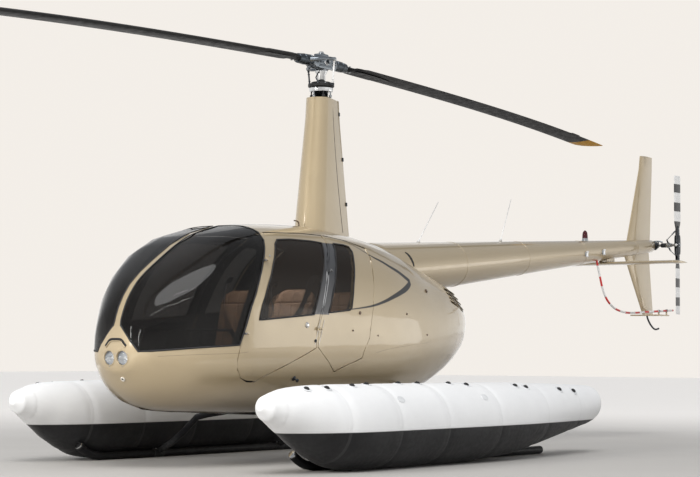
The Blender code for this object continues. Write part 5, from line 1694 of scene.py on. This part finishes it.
def makeHead():
    add("hubSteel", platePiece, "hubCore", [rotorPlace(x, y, 3.184) for x, y in (
        (-0.031, -0.105), (0.031, -0.105), (0.031, 0.105), (-0.031, 0.105),
    )], (0, 0, 0.086), 0.008, 3, body="main_rotor", smooth=40, replaced=("rotor_hub",))
    for side, word in ((1, "near"), (-1, "far")):
        outline = [rotorPlace(side * 0.032, y, z) for y, z in head["plate"]]
        add("hubPlate", platePiece, "hubPlate_" + word, outline, rotorWay(side * 0.014, 0, 0), 0.003, 2,
            body="main_rotor")
        add("hubPlate", platePiece, "hubRib_" + word, [rotorPlace(side * 0.045, y, z) for y, z in (
            (-0.098, 3.188), (0.098, 3.188), (0.066, 3.206), (-0.066, 3.206),
        )], rotorWay(side * 0.006, 0, 0), 0.002, 2, body="main_rotor")
        at, way = rotorPlace(side * 0.046, 0, 3.235), rotorWay(side, 0, 0)
        add("chrome", turnedPiece, "teeterWasher_" + word, at, way, (
            (0, 0.033), (0.01, 0.033), (0.012, 0.03), (0.016, 0.026), (0.019, 0.026),
        ), 36, body="main_rotor")
        rotorBolt("teeterBolt_" + word, side * 0.064, 0, 3.235, 0.04, 0.016, 0.0115)
        for end, facing in foreAft:
            name = "coningBolt_" + word + "_" + facing
            rotorBolt(name, side * 0.046, end * head["hinge"], 3.228, 0.03, 0.011, 0.0085)
    add("steel", turnedPiece, "mastCollar", rotorPlace(0, 0, 3.262), (0, 0, 1), (
        (0, 0.036), (0.014, 0.036), (0.016, 0.034), (0.018, 0.03),
    ), 36, body="main_rotor")
    add("hubSteel", hexHead, "mastNut", rotorPlace(0, 0, 3.279), (0, 0, 1), 0.062, 0.026, body="main_rotor",
        smooth=30)
    add("steel", turnedPiece, "mastStud", rotorPlace(0, 0, 3.3), (0, 0, 1), (
        (0, 0.021), (0.017, 0.021), (0.02, 0.018),
    ), 28, body="main_rotor")
    softCopy("rotor_mast", "chrome", 35)
    add("hubPlate", platePiece, "hubCrown", [rotorPlace(x, y, 3.268) for x, y in (
        (-0.03, -0.064), (0.03, -0.064), (0.043, -0.04), (0.043, 0.04), (0.03, 0.064), (-0.03, 0.064),
        (-0.043, 0.04), (-0.043, -0.04),
    )], (0, 0, 0.03), 0.006, 3, body="main_rotor")
    for end, word in foreAft:
        near = rotorPlace(0, end * 0.112, bladeRise(0.112, end))
        far = rotorPlace(0, end * 0.344, bladeRise(0.344, end))
        way = (far - near).normalized()
        add("rubber", turnedPiece, "hingeBoot_" + word, near - 0.022 * way, way, (
            (0, 0.026), (0.004, 0.033), (0.009, 0.029), (0.014, 0.035), (0.019, 0.03), (0.024, 0.036),
            (0.028, 0.032),
        ), 32, body="main_rotor", smooth=50)
        add("hubSteel", turnedPiece, "bladeGrip_" + word, near, way, (
            (0, 0.033), (0.006, 0.039), (0.048, 0.041), (0.052, 0.0455), (0.07, 0.046), (0.074, 0.041),
            (0.086, 0.041), (0.09, 0.045), (0.15, 0.045), (0.154, 0.0405), (0.166, 0.0405), (0.17, 0.044),
            (0.215, 0.04), (0.228, 0.0395), (0.232, 0.036),
        ), 36, body="main_rotor")
        for k in range(8):
            a = 2 * pi * k / 8 + 0.2
            across = way.cross(Vector((0, 0, 1))).normalized()
            up = across.cross(way)
            ray = cos(a) * across + sin(a) * up
            at = near + 0.08 * way + 0.0385 * ray
            add("steel", hexHead, "gripScrew_" + word + str(k), at, ray, 0.011, 0.007, body="main_rotor",
                smooth=30)
        for reach in (0.375, 0.425):
            for face in (1, -1):
                rise = bladeRise(reach, end) + face * (0.0235 if reach < 0.4 else 0.0205)
                name = "rootBolt_" + word + str(int(reach * 1000)) + ("t" if face > 0 else "u")
                add("steel", hexHead, name, rotorPlace(0, end * reach, rise), (0, 0, face), 0.02, 0.008,
                    body="main_rotor", smooth=30)
        z = bladeRise(0.24, end)
        top = head["hornTop"][word]
        hornX = head["hornX"]
        add("hubPlate", barPiece, "pitchHorn_" + word, [rotorPlace(*point) for point in (
            (0, end * 0.225, z), (end * -0.062, end * 0.196, z + 0.002),
            (end * -0.108, end * 0.14, (z + top) / 2), (end * -hornX, end * 0.062, top),
            (end * -hornX, end * -0.01, top),
        )], (0.02, 0.018, 0.015, 0.0125, 0.0125), 12, body="main_rotor", smooth=50)
        at = rotorPlace(end * -hornX - 0.0165, end * 0.006, top)
        add("steel", turnedPiece, "hornEye_" + word, at, rotorWay(1, 0, 0), (
            (0, 0.008), (0.004, 0.015), (0.01, 0.017), (0.023, 0.017), (0.029, 0.015), (0.033, 0.008),
        ), 24, body="main_rotor")
        foot = rotorPlace(end * -0.118, end * 0.006, 3.052)
        tip = rotorPlace(end * -hornX, end * 0.006, top - 0.012)
        length = (tip - foot).length
        rod = "white" if end < 0 else "darkSteel"
        add(rod, turnedPiece, "pitchLink_" + word, foot, tip - foot, (
            (0, 0.008), (0.006, 0.011), (0.016, 0.011), (0.02, 0.0062), (0.028, 0.0062), (0.0282, 0.0098),
            (0.034, 0.0098), (0.0342, 0.007), (length - 0.036, 0.007), (length - 0.0358, 0.0098),
            (length - 0.03, 0.0098), (length - 0.0298, 0.0062), (length - 0.018, 0.0062),
            (length - 0.014, 0.01), (length - 0.003, 0.0095),
        ), 18, body="main_rotor", smooth=30, slot="bare_steel")
    add("rubber", ringPiece, "swashUpper", rotorPlace(0, 0, 3.026), (0, 0, 1), (
        (0, 0.0475), (0, 0.104), (0.003, 0.1078), (0.021, 0.1078), (0.024, 0.104), (0.0255, 0.088),
        (0.031, 0.084), (0.037, 0.083), (0.04, 0.079), (0.04, 0.0475),
    ), 56, body="main_rotor", replaced=("swashplate_turning",), slot="black_paint")
    for k in range(10):
        a = 2 * pi * k / 10
        at = rotorPlace(0.096 * cos(a), 0.096 * sin(a), 3.05)
        add("steel", hexHead, "swashScrew" + str(k), at, (0, 0, 1), 0.01, 0.006, body="main_rotor", smooth=30)
    for end, word in foreAft:
        outline = [rotorPlace(end * -x, end * 0.006 + y, 3.034) for x, y in (
            (0.098, -0.016), (0.124, -0.013), (0.134, 0.0), (0.124, 0.013), (0.098, 0.016),
        )]
        add("darkSteel", platePiece, "swashLug_" + word, outline, (0, 0, 0.018), 0.003, 2, body="main_rotor")
    # a scissor drives the upper plate
    add("hubSteel", barPiece, "driveScissor", [rotorPlace(*point) for point in (
        (0.03, -0.088, 3.058), (0.018, -0.104, 3.092), (0.012, -0.07, 3.128), (0.01, -0.048, 3.15),
    )], (0.0065, 0.0055, 0.0055, 0.0065), 10, True, body="main_rotor", smooth=40)
    add("chrome", ringPiece, "swashLower", world(0, 0, 2.984), (0, 0, 1), (
        (0, 0.0475), (0, 0.088), (0.003, 0.095), (0.014, 0.0975), (0.032, 0.0975), (0.0355, 0.094),
        (0.036, 0.0475),
    ), 56, replaced=("swashplate_fixed",))
    sleeve = [(0, 0.0475)]
    for k in range(5):
        sleeve += [(0.002 + 0.009 * k, 0.06), (0.0065 + 0.009 * k, 0.0535)]
    sleeve += [(0.0475, 0.06), (0.0485, 0.0475)]
    add("darkSteel", ringPiece, "mastSleeve", world(0, 0, 2.9355), (0, 0, 1), sleeve, 48, smooth=50)
    for k, angle in enumerate((20, 95, 140, 215, 260, 320)):
        a = radians(angle)
        at = world(0.08 * cos(a), 0.08 * sin(a), 2.9365)
        add("rubber" if k % 2 else "steel", turnedPiece, "servoRod" + str(k), at, (0, 0, 1), (
            (0, 0.006), (0.004, 0.0115), (0.018, 0.0125), (0.022, 0.0115), (0.026, 0.0055), (0.05, 0.0055),
        ), 16, smooth=40, slot="bare_steel")


# Mast fairing, tail boom, fins and stabilizer

tail = {"hub": (0.3, 5.893, 2.015), "boomEnd": 5.84, "plateZ": 1.27, "stabilizerZ": 1.78}


def boomRadius(y):
    return 0.5 * (0.398 - 0.069 * (y - 2.026))


def boomCentre(y):
    return 1.658 + 0.0915 * (y - 2.026)


def boomPoint(side, y, z, proud=0.0):
    # a place on the boom's side and its normal
    lift = max(-0.99, min(0.99, (z - boomCentre(y)) / boomRadius(y)))
    out = Vector((side * (1 - lift * lift) ** 0.5, 0, lift))
    return world(0, y, boomCentre(y)) + (boomRadius(y) + proud) * out, out


def fairingEdges(z):
    # y of the fairing's front and rear edges and the radius of its nose at a height
    return -0.265 + 0.122 * (z - 1.79), 0.384 - 0.147 * (z - 1.814), 0.14 - 0.04 * (z - 1.9)


def makeFairing():
    rings = []
    for i in range(15):
        z = 1.772 + (2.935 - 1.772) * i / 14
        front, rear, nose = fairingEdges(z)
        end = 0.022
        if i == 14:
            front, rear, nose, end = front + 0.003, rear - 0.003, nose - 0.003, end - 0.003
        elif i == 13:
            z = 2.931
        ring = []
        for k in range(29):
            a = pi * k / 28
            ring.append(world(nose * cos(a), front + nose - nose * sin(a), z))
        for k in range(1, 12):
            a = pi + pi * k / 12
            ring.append(world(end * cos(a), rear - end - end * sin(a), z))
        rings.append(ring)
    add("body", loftPiece, "fairingSkin", rings, smooth=40, replaced=("mast_fairing",))
    # the joint of its rear cap, the catches and the tube in front of its foot
    for side, word in leftRight:
        seam = []
        for k in range(9):
            z = 1.84 + (2.925 - 1.84) * k / 8
            front, rear, nose = fairingEdges(z)
            reach = 0.75 - 0.35 * k / 8
            centre = front + nose
            y = centre + (rear - 0.022 - centre) * reach
            x = nose + (0.022 - nose) * reach
            seam.append(world(side * (x + 0.0012), y, z))
        add("darkSteel", sweptPiece, "fairingSeam_" + word, seam, strapSection(0.005, 0.002), 24,
            (side, 0.3, 0), smooth=40, slot="dark_trim")
    for k, z in enumerate((2.08, 2.45, 2.822)):
        rear = fairingEdges(z)[1]
        add("darkSteel", boxPiece, "fairingCatch" + str(k), world(0.016, rear - 0.036, z - 0.016),
            world(0.032, rear - 0.012, z + 0.016), 0.004, 2, 0.9, smooth=40, slot="dark_trim")
    place = topPoint(0.012, -0.3, -0.004)
    stem = [place + Vector(step) for step in (
        (0, 0, 0), (0, -0.004, 0.03), (0, -0.01, 0.052), (0, -0.034, 0.06), (0, -0.066, 0.062),
    )]
    add("burnt", sweptPiece, "pitotTube", stem, roundSection(0.0055, 12), 24, (1, 0, 0), smooth=50)
    add("darkSteel", turnedPiece, "pitotFoot", place, (0, 0, 1), (
        (0, 0.016), (0.008, 0.015), (0.011, 0.009),
    ), 20, smooth=40)


def makeBoom():
    rows = [(0.36, 0.2, 1.5), (0.45, 0.2085, 1.5116), (0.54, 0.22, 1.521)]
    for k in range(45):
        y = 0.62 + (tail["boomEnd"] - 0.62) * k / 44
        rows.append((y, boomRadius(y), boomCentre(y)))
    y, radius, centre = rows.pop()
    rows += [(y - 0.004, radius, centre), (y - 0.001, radius - 0.002, centre), (y, radius - 0.006, centre)]
    rings = []
    turns = [2 * pi * k / 56 for k in range(56)]
    for y, radius, centre in rows:
        rings.append([world(radius * cos(a), y, centre + radius * sin(a)) for a in turns])
    add("body", loftPiece, "boomSkin", rings, smooth=40, replaced=("tail_boom",))
    rivets = []
    model = turnedPiece("rivetModel", (0, 0, 0), (0, 0, 1), (
        (-0.001, 0.0034), (0.0006, 0.0032), (0.0012, 0.0022), (0.0015, 0.0008),
    ), 8)
    for y in (1.95, 3.1, 4.28, 5.45):
        for k in range(36):
            a = 2 * pi * k / 36
            # square to the skin of the tapered boom
            out = Vector((cos(a), 0.0345, sin(a))).normalized()
            for shift in (-0.013, 0.013):
                here = y + shift
                place = world(boomRadius(here) * cos(a), here, boomCentre(here) + boomRadius(here) * sin(a))
                turn = out.to_track_quat("Z", "Y").to_matrix().to_4x4()
                rivets.append(copied(model, "rivet", Matrix.Translation(place) @ turn))
        at, r = world(0, y - 0.024, boomCentre(y - 0.024)), boomRadius(y)
        add("body", ringPiece, "boomBand" + str(int(y * 100)), at, (0, 1, 0.0915), (
            (0, r - 0.003), (0, r + 0.0016), (0.0008, r + 0.0024), (0.0472, r + 0.0002), (0.048, r - 0.001),
            (0.048, r - 0.006),
        ), 56, smooth=30)
    bpy.data.objects.remove(model)
    add("body", joined, "boomRivets", rivets, smooth=50)
    # crescent air inlet on each side and the two white fittings on the left
    for side, word in leftRight:
        arc = [boomPoint(side, y, z, 0.001)[0] for y, z in (
            (0.955, 1.706), (0.985, 1.684), (1.003, 1.655), (1.016, 1.622), (1.02, 1.588),
        )]
        widths = (0.3, 0.85, 1.0, 0.85, 0.3)
        path = smoothPath(arc, 20)
        rings = []
        for i, place in enumerate(path):
            ahead = (path[min(i + 1, 20)] - path[max(i - 1, 0)]).normalized()
            out = Vector((side * 0.9, 0, 0.2)).normalized()
            across = ahead.cross(out).normalized()
            u = i / 20 * 4
            wide = widths[int(min(u, 3.999))] * (1 - u % 1) + widths[min(int(u) + 1, 4)] * (u % 1)
            rings.append([place + wide * a * across + b * out for a, b in (
                (-0.018, -0.003), (-0.016, 0.0015), (0.0, 0.003), (0.016, 0.0015), (0.018, -0.003),
            )])
        add("rubber", loftPiece, "boomInlet_" + word, rings, smooth=50)
        lip = [place + Vector((0, 0.012, 0.003)) for place in arc]
        add("body", sweptPiece, "boomInletLip_" + word, lip, roundSection(0.0035, 8), 24, (side, 0, 0),
            smooth=50)
    for k, (y, z) in enumerate(((4.231, 1.847), (4.605, 1.885))):
        place, out = boomPoint(1, y, z, -0.002)
        add("steel", turnedPiece, "boomFittingBase" + str(k), place, out, (
            (0, 0.023), (0.006, 0.023), (0.008, 0.019),
        ), 24)
        up = Vector((0, 0, 1)) - Vector((0, 0, 1)).dot(out) * out
        add("whiteGloss", turnedPiece, "boomFitting" + str(k), place + 0.016 * out - 0.03 * up, up, (
            (0, 0.01), (0.003, 0.0135), (0.014, 0.0135), (0.016, 0.01), (0.044, 0.01), (0.046, 0.0125),
            (0.058, 0.0125), (0.06, 0.008),
        ), 20, smooth=40)


def finRow(front, rear, z, thick, shrink=1.0):
    middle = (front + rear) / 2
    ring = []
    for s, w in wingSection:
        y = middle + (front + (rear - front) * s - middle) * shrink
        ring.append(world(thick / 2 * w * shrink, y, z))
    return ring


def makeTailSurfaces():
    top = tail["plateZ"] + 0.0084
    for name, low, high in (
        ("fin_upper", (5.3, 5.835, 1.98, 0.055), (5.652, 5.906, 2.96, 0.034)),
        ("fin_lower", (5.212, 5.812, 1.96, 0.055), (5.668, 5.906, top, 0.034)),
    ):
        rings = []
        for k in range(15):
            t = k / 14
            row = [a + (b - a) * t for a, b in zip(low, high)]
            shrink = 1.0 if k < 14 or name == "fin_lower" else 0.93
            if k == 13 and name == "fin_upper":
                row[2] = high[2] - 0.004
            rings.append(finRow(*row, shrink))
        add("body", loftPiece, name + "_skin", rings, replaced=(name,))
    outline = []
    for sx, sy, start in corners:
        for k in range(6):
            a = radians(start + 18 * k)
            x, y = sx * 0.15 + 0.02 * cos(a), 5.835 + sy * 0.115 + 0.02 * sin(a)
            outline.append(world(x, y, tail["plateZ"] - 0.007))
    add("body", platePiece, "finTipPlate_skin", outline, (0, 0, 0.014), 0.004, 3, replaced=("fin_tip_plate",))
    add("darkSteel", sweptPiece, "tailSkid", [world(0, y, z) for y, z in (
        (5.77, 1.272), (5.786, 1.236), (5.842, 1.18), (5.915, 1.136), (5.975, 1.1235), (6.04, 1.134),
    )], roundSection(0.0095, 14), 34, (1, 0, 0), smooth=50)
    for k, y in enumerate((5.74, 5.92)):
        z = 1.28 + 0.047 * (y + 0.008 - 5.1) / 0.98
        add("body", boxPiece, "guardPost" + str(k), world(0.143, y, tail["plateZ"]),
            world(0.157, y + 0.016, z - 0.009), 0.003, 2)
        add("steel", ringPiece, "guardClamp" + str(k), world(0.15, y - 0.004, z), (0, 1, 0.048), (
            (0, 0.0113), (0, 0.015), (0.002, 0.0158), (0.022, 0.0158), (0.024, 0.015), (0.024, 0.0113),
        ), 24)
    # stabilizer, rounded at its tips, and the two plates that carry it
    rings = []
    tips = ((0.835, 0.5), (0.832, 0.66), (0.822, 0.82), (0.8, 0.96), (0.775, 1.0), (0.4, 1.0))
    for x, shrink in [(-x, shrink) for x, shrink in tips] + [(0.0, 1.0)] + list(reversed(tips)):
        ring = []
        for s, w in wingSection:
            y = 4.925 + (4.75 + 0.35 * s - 4.925) * shrink
            ring.append(world(x, y, tail["stabilizerZ"] + 0.0175 * w * shrink))
        rings.append(ring)
    add("body", loftPiece, "stabilizerSkin", rings, replaced=("stabilizer",))
    for side, word in leftRight:
        outline = [world(side * 0.038, y, z) for y, z in (
            (4.8, 1.788), (4.98, 1.788), (4.965, 1.85), (4.93, 1.88), (4.85, 1.88), (4.815, 1.85),
        )]
        add("body", platePiece, "stabilizerBracket_" + word, outline, (side * 0.007, 0, 0), 0.002, 2)
        for k in range(3):
            at = world(side * 0.0445, 4.84 + 0.05 * k, 1.806)
            add("steel", hexHead, "stabilizerBolt_" + word + str(k), at, (side, 0, 0), 0.012, 0.006, smooth=30)
    # guard tube in red and white
    start = boomCentre(4.56) - (boomRadius(4.56) ** 2 - 0.06 ** 2) ** 0.5
    line = [world(*point) for point in (
        (0.06, 4.56, start + 0.02), (0.067, 4.56, start - 0.03), (0.092, 4.56, 1.66), (0.116, 4.572, 1.53),
        (0.134, 4.62, 1.42), (0.143, 4.72, 1.345), (0.148, 4.86, 1.3), (0.15, 5.1, 1.28), (0.15, 5.6, 1.304),
        (0.15, 6.075, 1.3268),
    )]
    guard = sweptPiece("guardTube", line, roundSection(0.0108, 16), 120, (1, 0, 0))
    length = sum((b - a).length for a, b in zip(line, line[1:])) * 1.004

    def travelled(material):
        v = axisValue(material, uvPlace(material, (1, 1, 1)), 1)
        bands = calc(material, "ADD", calc(material, "MULTIPLY", v, length / 0.212), 0.12)
        return calc(material, "FRACT", bands)

    paint = makeBanded("guardBands", (0.72, 0.71, 0.7), (0.5, 0.018, 0.016), travelled, ((0.0, 0.46),))
    finishPiece(guard, paint, "airframe", 50, ("tail_rotor_guard",), "red_paint")
    # beacon and whip antennas
    height = boomCentre(4.43) + boomRadius(4.43)
    add("steel", turnedPiece, "beaconBase", world(0, 4.43, height - 0.016), (0, 0, 1), (
        (0, 0.0335), (0.022, 0.0335), (0.025, 0.031), (0.038, 0.0305), (0.04, 0.028),
    ), 36, replaced=("beacon",))
    add("redGlass", turnedPiece, "beaconLens", world(0, 4.43, height + 0.022), (0, 0, 1), (
        (0, 0.028), (0.006, 0.0285), (0.012, 0.027), (0.018, 0.028), (0.024, 0.0265), (0.03, 0.0275),
        (0.036, 0.026), (0.05, 0.025), (0.066, 0.02), (0.076, 0.012), (0.082, 0.003),
    ), 36, smooth=50)
    for place in ("front", "rear"):
        softCopy("whip_antenna_" + place, "white", 50)


# Tail rotor and its gearbox


def makeTailRotor():
    hub = Vector(tail["hub"])
    body = nodes["tail_rotor_hub"]["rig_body"]

    def atHub(x, y, z):
        return world(hub.x + x, hub.y + y, hub.z + z)

    def away(material):
        place = objectPlace(material, 1.0, (0, 0, -hub.z))
        return calc(material, "ABSOLUTE", axisValue(material, place, 2))

    paint = makeBanded("tailBladeBands", (0.74, 0.74, 0.735), (0.02, 0.02, 0.021), away,
                       ((0.0, 0.25), (0.355, 0.45), (0.555, 0.646)))
    for sign, word in ((1, "upper"), (-1, "lower")):
        rings = []
        for r, chord, thick in (
            (0.112, 0.046, 0.015), (0.15, 0.056, 0.012), (0.185, 0.082, 0.0095), (0.22, 0.11, 0.0084),
            (0.25, 0.123, 0.0082), (0.28, 0.125, 0.0082), (0.4, 0.125, 0.008), (0.55, 0.125, 0.0076),
            (0.69, 0.125, 0.007), (0.722, 0.122, 0.0062), (0.733, 0.112, 0.0046), (0.7362, 0.098, 0.003),
        ):
            ring = []
            for s, w in wingSection:
                across = (s - 0.5) * chord
                ring.append(atHub(thick * w * 0.8 + 0.1 * across, sign * across, sign * r))
            rings.append(ring)
        add(paint, loftPiece, "tailBladeSkin_" + word, rings, body=body, smooth=40,
            replaced=("tail_rotor_blade_" + word,), slot="white_paint")
        for face, label in outIn:
            outline = [atHub(face * 0.0095, y, sign * z) for y, z in (
                (-0.02, 0.06), (0.02, 0.06), (0.026, 0.12), (0.022, 0.185), (0.0, 0.205), (-0.022, 0.185),
                (-0.026, 0.12),
            )]
            add("darkSteel", platePiece, "rootPlate_" + word + label, outline,
                (face * 0.0035, 0, 0), 0.001, 1, body=body)
        for k, z in enumerate((0.085, 0.135, 0.17)):
            at = atHub(0.0125, 0, sign * z)
            add("steel", hexHead, "rootScrew_" + word + str(k), at, (1, 0, 0), 0.013, 0.006, body=body,
                smooth=30)
        add("darkSteel", barPiece, "tailHorn_" + word, [world(*point) for point in (
            (hub.x - 0.006, hub.y, hub.z + sign * 0.15),
                (hub.x - 0.02, hub.y - sign * 0.026, hub.z + sign * 0.14),
            (hub.x - 0.034, hub.y - sign * 0.04, hub.z + sign * 0.118),
        )], (0.01, 0.008, 0.007), 10, True, body=body, smooth=40)
        foot = world(0.196, hub.y - sign * 0.04, hub.z + sign * 0.052)
        tip = atHub(-0.034, -sign * 0.04, sign * 0.118)
        length = (tip - foot).length
        add("steel", turnedPiece, "tailPitchLink_" + word, foot, tip - foot, (
            (0, 0.005), (0.003, 0.0085), (0.012, 0.0085), (0.015, 0.0045), (length - 0.015, 0.0045),
            (length - 0.012, 0.0085), (length - 0.003, 0.0085), (length, 0.005),
        ), 14, body=body, smooth=40)
        add("darkSteel", barPiece, "spiderArm_" + word, [world(*point) for point in (
            (0.196, hub.y, hub.z + sign * 0.012), (0.196, hub.y - sign * 0.024, hub.z + sign * 0.04),
            (0.196, hub.y - sign * 0.04, hub.z + sign * 0.052),
        )], (0.01, 0.008, 0.0075), 10, True, body=body, smooth=40)
    for face, label in outIn:
        outline = [atHub(face * 0.0135, y, z) for y, z in (
            (-0.024, -0.102), (0.024, -0.102), (0.031, -0.07), (0.033, 0.0), (0.031, 0.07), (0.024, 0.102),
            (-0.024, 0.102), (-0.031, 0.07), (-0.033, 0.0), (-0.031, -0.07),
        )]
        add("darkSteel", platePiece, "tailHubPlate" + label, outline, (face * 0.008, 0, 0), 0.002, 2,
            body=body)
    add("hubSteel", boxPiece, "tailHubCore", atHub(-0.014, -0.028, -0.034),
        atHub(0.014, 0.028, 0.034), 0.005, 2, body=body, replaced=("tail_rotor_hub",))
    for side in (1, -1):
        at = atHub(0, side * 0.026, 0)
        add("chrome", turnedPiece, "tailTeeter" + ("Aft" if side > 0 else "Fore"), at, (0, side, 0), (
            (0, 0.016), (0.008, 0.016), (0.009, 0.012), (0.012, 0.012),
        ), 24, body=body)
    add("steel", turnedPiece, "tailHubNut", atHub(0.02, 0, 0), (1, 0, 0), (
        (0, 0.019), (0.003, 0.019), (0.0032, 0.012), (0.016, 0.011),
    ), 24, body=body)
    add("steel", turnedPiece, "tailShaft", world(0.0765, hub.y, hub.z), (1, 0, 0), (
        (0, 0.0155), (0.008, 0.0155), (0.009, 0.0135), (0.094, 0.0135), (0.095, 0.021), (0.098, 0.023),
        (0.104, 0.023), (0.107, 0.029), (0.118, 0.03), (0.13, 0.029), (0.133, 0.02), (0.16, 0.019),
        (0.162, 0.0135), (0.21, 0.0135),
    ), 32, body=body)
    folds = []
    for k in range(6):
        folds += [(0.0095 * k, 0.019), (0.0095 * k + 0.005, 0.0245)]
    folds.append((0.057, 0.019))
    add("rubber", turnedPiece, "tailBellows", world(0.112, hub.y, hub.z), (1, 0, 0), folds, 28, body=body,
        smooth=60)
    # gearbox: ribbed case, bolted flange, cover screws, filler and control lever
    add("darkSteel", turnedPiece, "gearCase", world(-0.055, hub.y, hub.z), (1, 0, 0), (
        (0, 0.018), (0.002, 0.03), (0.01, 0.034), (0.013, 0.034), (0.014, 0.0405), (0.019, 0.0415),
        (0.0195, 0.037), (0.026, 0.037), (0.0265, 0.0425), (0.031, 0.043), (0.0315, 0.0385), (0.038, 0.0385),
        (0.0385, 0.0435), (0.043, 0.044), (0.0435, 0.0395), (0.05, 0.0395), (0.0505, 0.0445), (0.055, 0.045),
        (0.0555, 0.0405), (0.062, 0.0405), (0.0625, 0.0455), (0.067, 0.046), (0.0675, 0.0415),
        (0.08, 0.0415), (0.081, 0.0475), (0.1, 0.048), (0.103, 0.045), (0.106, 0.032), (0.124, 0.029),
        (0.13, 0.025), (0.1302, 0.015),
    ), 40, replaced=("tail_gearbox",))
    add("steel", turnedPiece, "gearFlange", world(0, 5.8404, hub.z), (0, 1, 0), (
        (0, 0.034), (0.006, 0.034), (0.007, 0.03), (0.03, 0.027), (0.04, 0.03),
    ), 32)
    for k in range(8):
        a = 2 * pi * k / 8
        at = world(0.0435, hub.y + 0.0395 * cos(a), hub.z + 0.0395 * sin(a))
        add("steel", hexHead, "gearScrew" + str(k), at, (1, 0, 0), 0.01, 0.009, smooth=30)
        at = world(0.029 * cos(a), 5.8464, hub.z + 0.029 * sin(a))
        add("chrome", hexHead, "flangeNut" + str(k), at, (0, 1, 0), 0.009, 0.007, smooth=30)
    add("steel", turnedPiece, "gearFiller", world(-0.005, hub.y, hub.z + 0.036), (0, 0, 1), (
        (0, 0.013), (0.008, 0.013), (0.009, 0.01), (0.011, 0.01), (0.0112, 0.0125), (0.018, 0.012),
        (0.019, 0.008),
    ), 20)
    add("hubPlate", barPiece, "pitchLever", [world(*point) for point in (
        (0.03, 5.846, 2.052), (0.08, 5.85, 2.058), (0.11, 5.862, 2.056), (0.138, 5.872, 2.046),
    )], (0.009, 0.0075, 0.0075, 0.0085), 10, smooth=50)
    add("darkSteel", barPiece, "pitchYoke", [world(*point) for point in (
        (0.06, 5.852, 1.98), (0.092, 5.848, 2.0), (0.098, 5.85, 2.03), (0.092, 5.853, 2.055),
    )], (0.007, 0.007, 0.007, 0.006), 10, smooth=50)


# Hoods over the cowl's air slots


def makeLouvres():
    # a hood's edge: height above its line, distance out of the skin
    edge = ((0.03, -0.001), (0.029, 0.003), (0.015, 0.0115), (0.0136, 0.01), (0.02, 0.0005))
    for side, word in leftRight:
        for i in range(4):
            height = 1.285 + 0.036 * i
            aft = 1.69 - 0.035 * i
            rings = []
            for k in range(11):
                y = 1.34 + (aft - 0.006 - 1.34) * k / 10
                z = height - 0.217 * (y - 1.335)
                proud = 1.0 if 0 < k < 10 else 0.25
                rings.append([
                    skinPoint(side, y, z + up, out * proud)[0]
                    for up, out in edge
                ])
            add("body", loftPiece, "louvre_" + word + str(i), rings, smooth=40)


makePaints()
print("materials made")
makeCamera()
makeStudio()
print("camera, floor and lights made")
dressNodes()
print("frame dressed")
makeHullGuide()
smoothPanels()
print("hull panels smoothed")
makeFloats()
print("floats made")
makeMainBlades()
print("main blades made")
makeSeals()
makeFittings()
makeLamps()
print("seals, fittings and lamps made")
makeSeats()
makeBelts()
print("seats and belts made")
makeCabinDetails()
print("cabin made")
makeGear()
makeHead()
print("gear and rotor head made")
makeFairing()
makeBoom()
makeTailSurfaces()
makeTailRotor()
makeLouvres()
print("tail made")
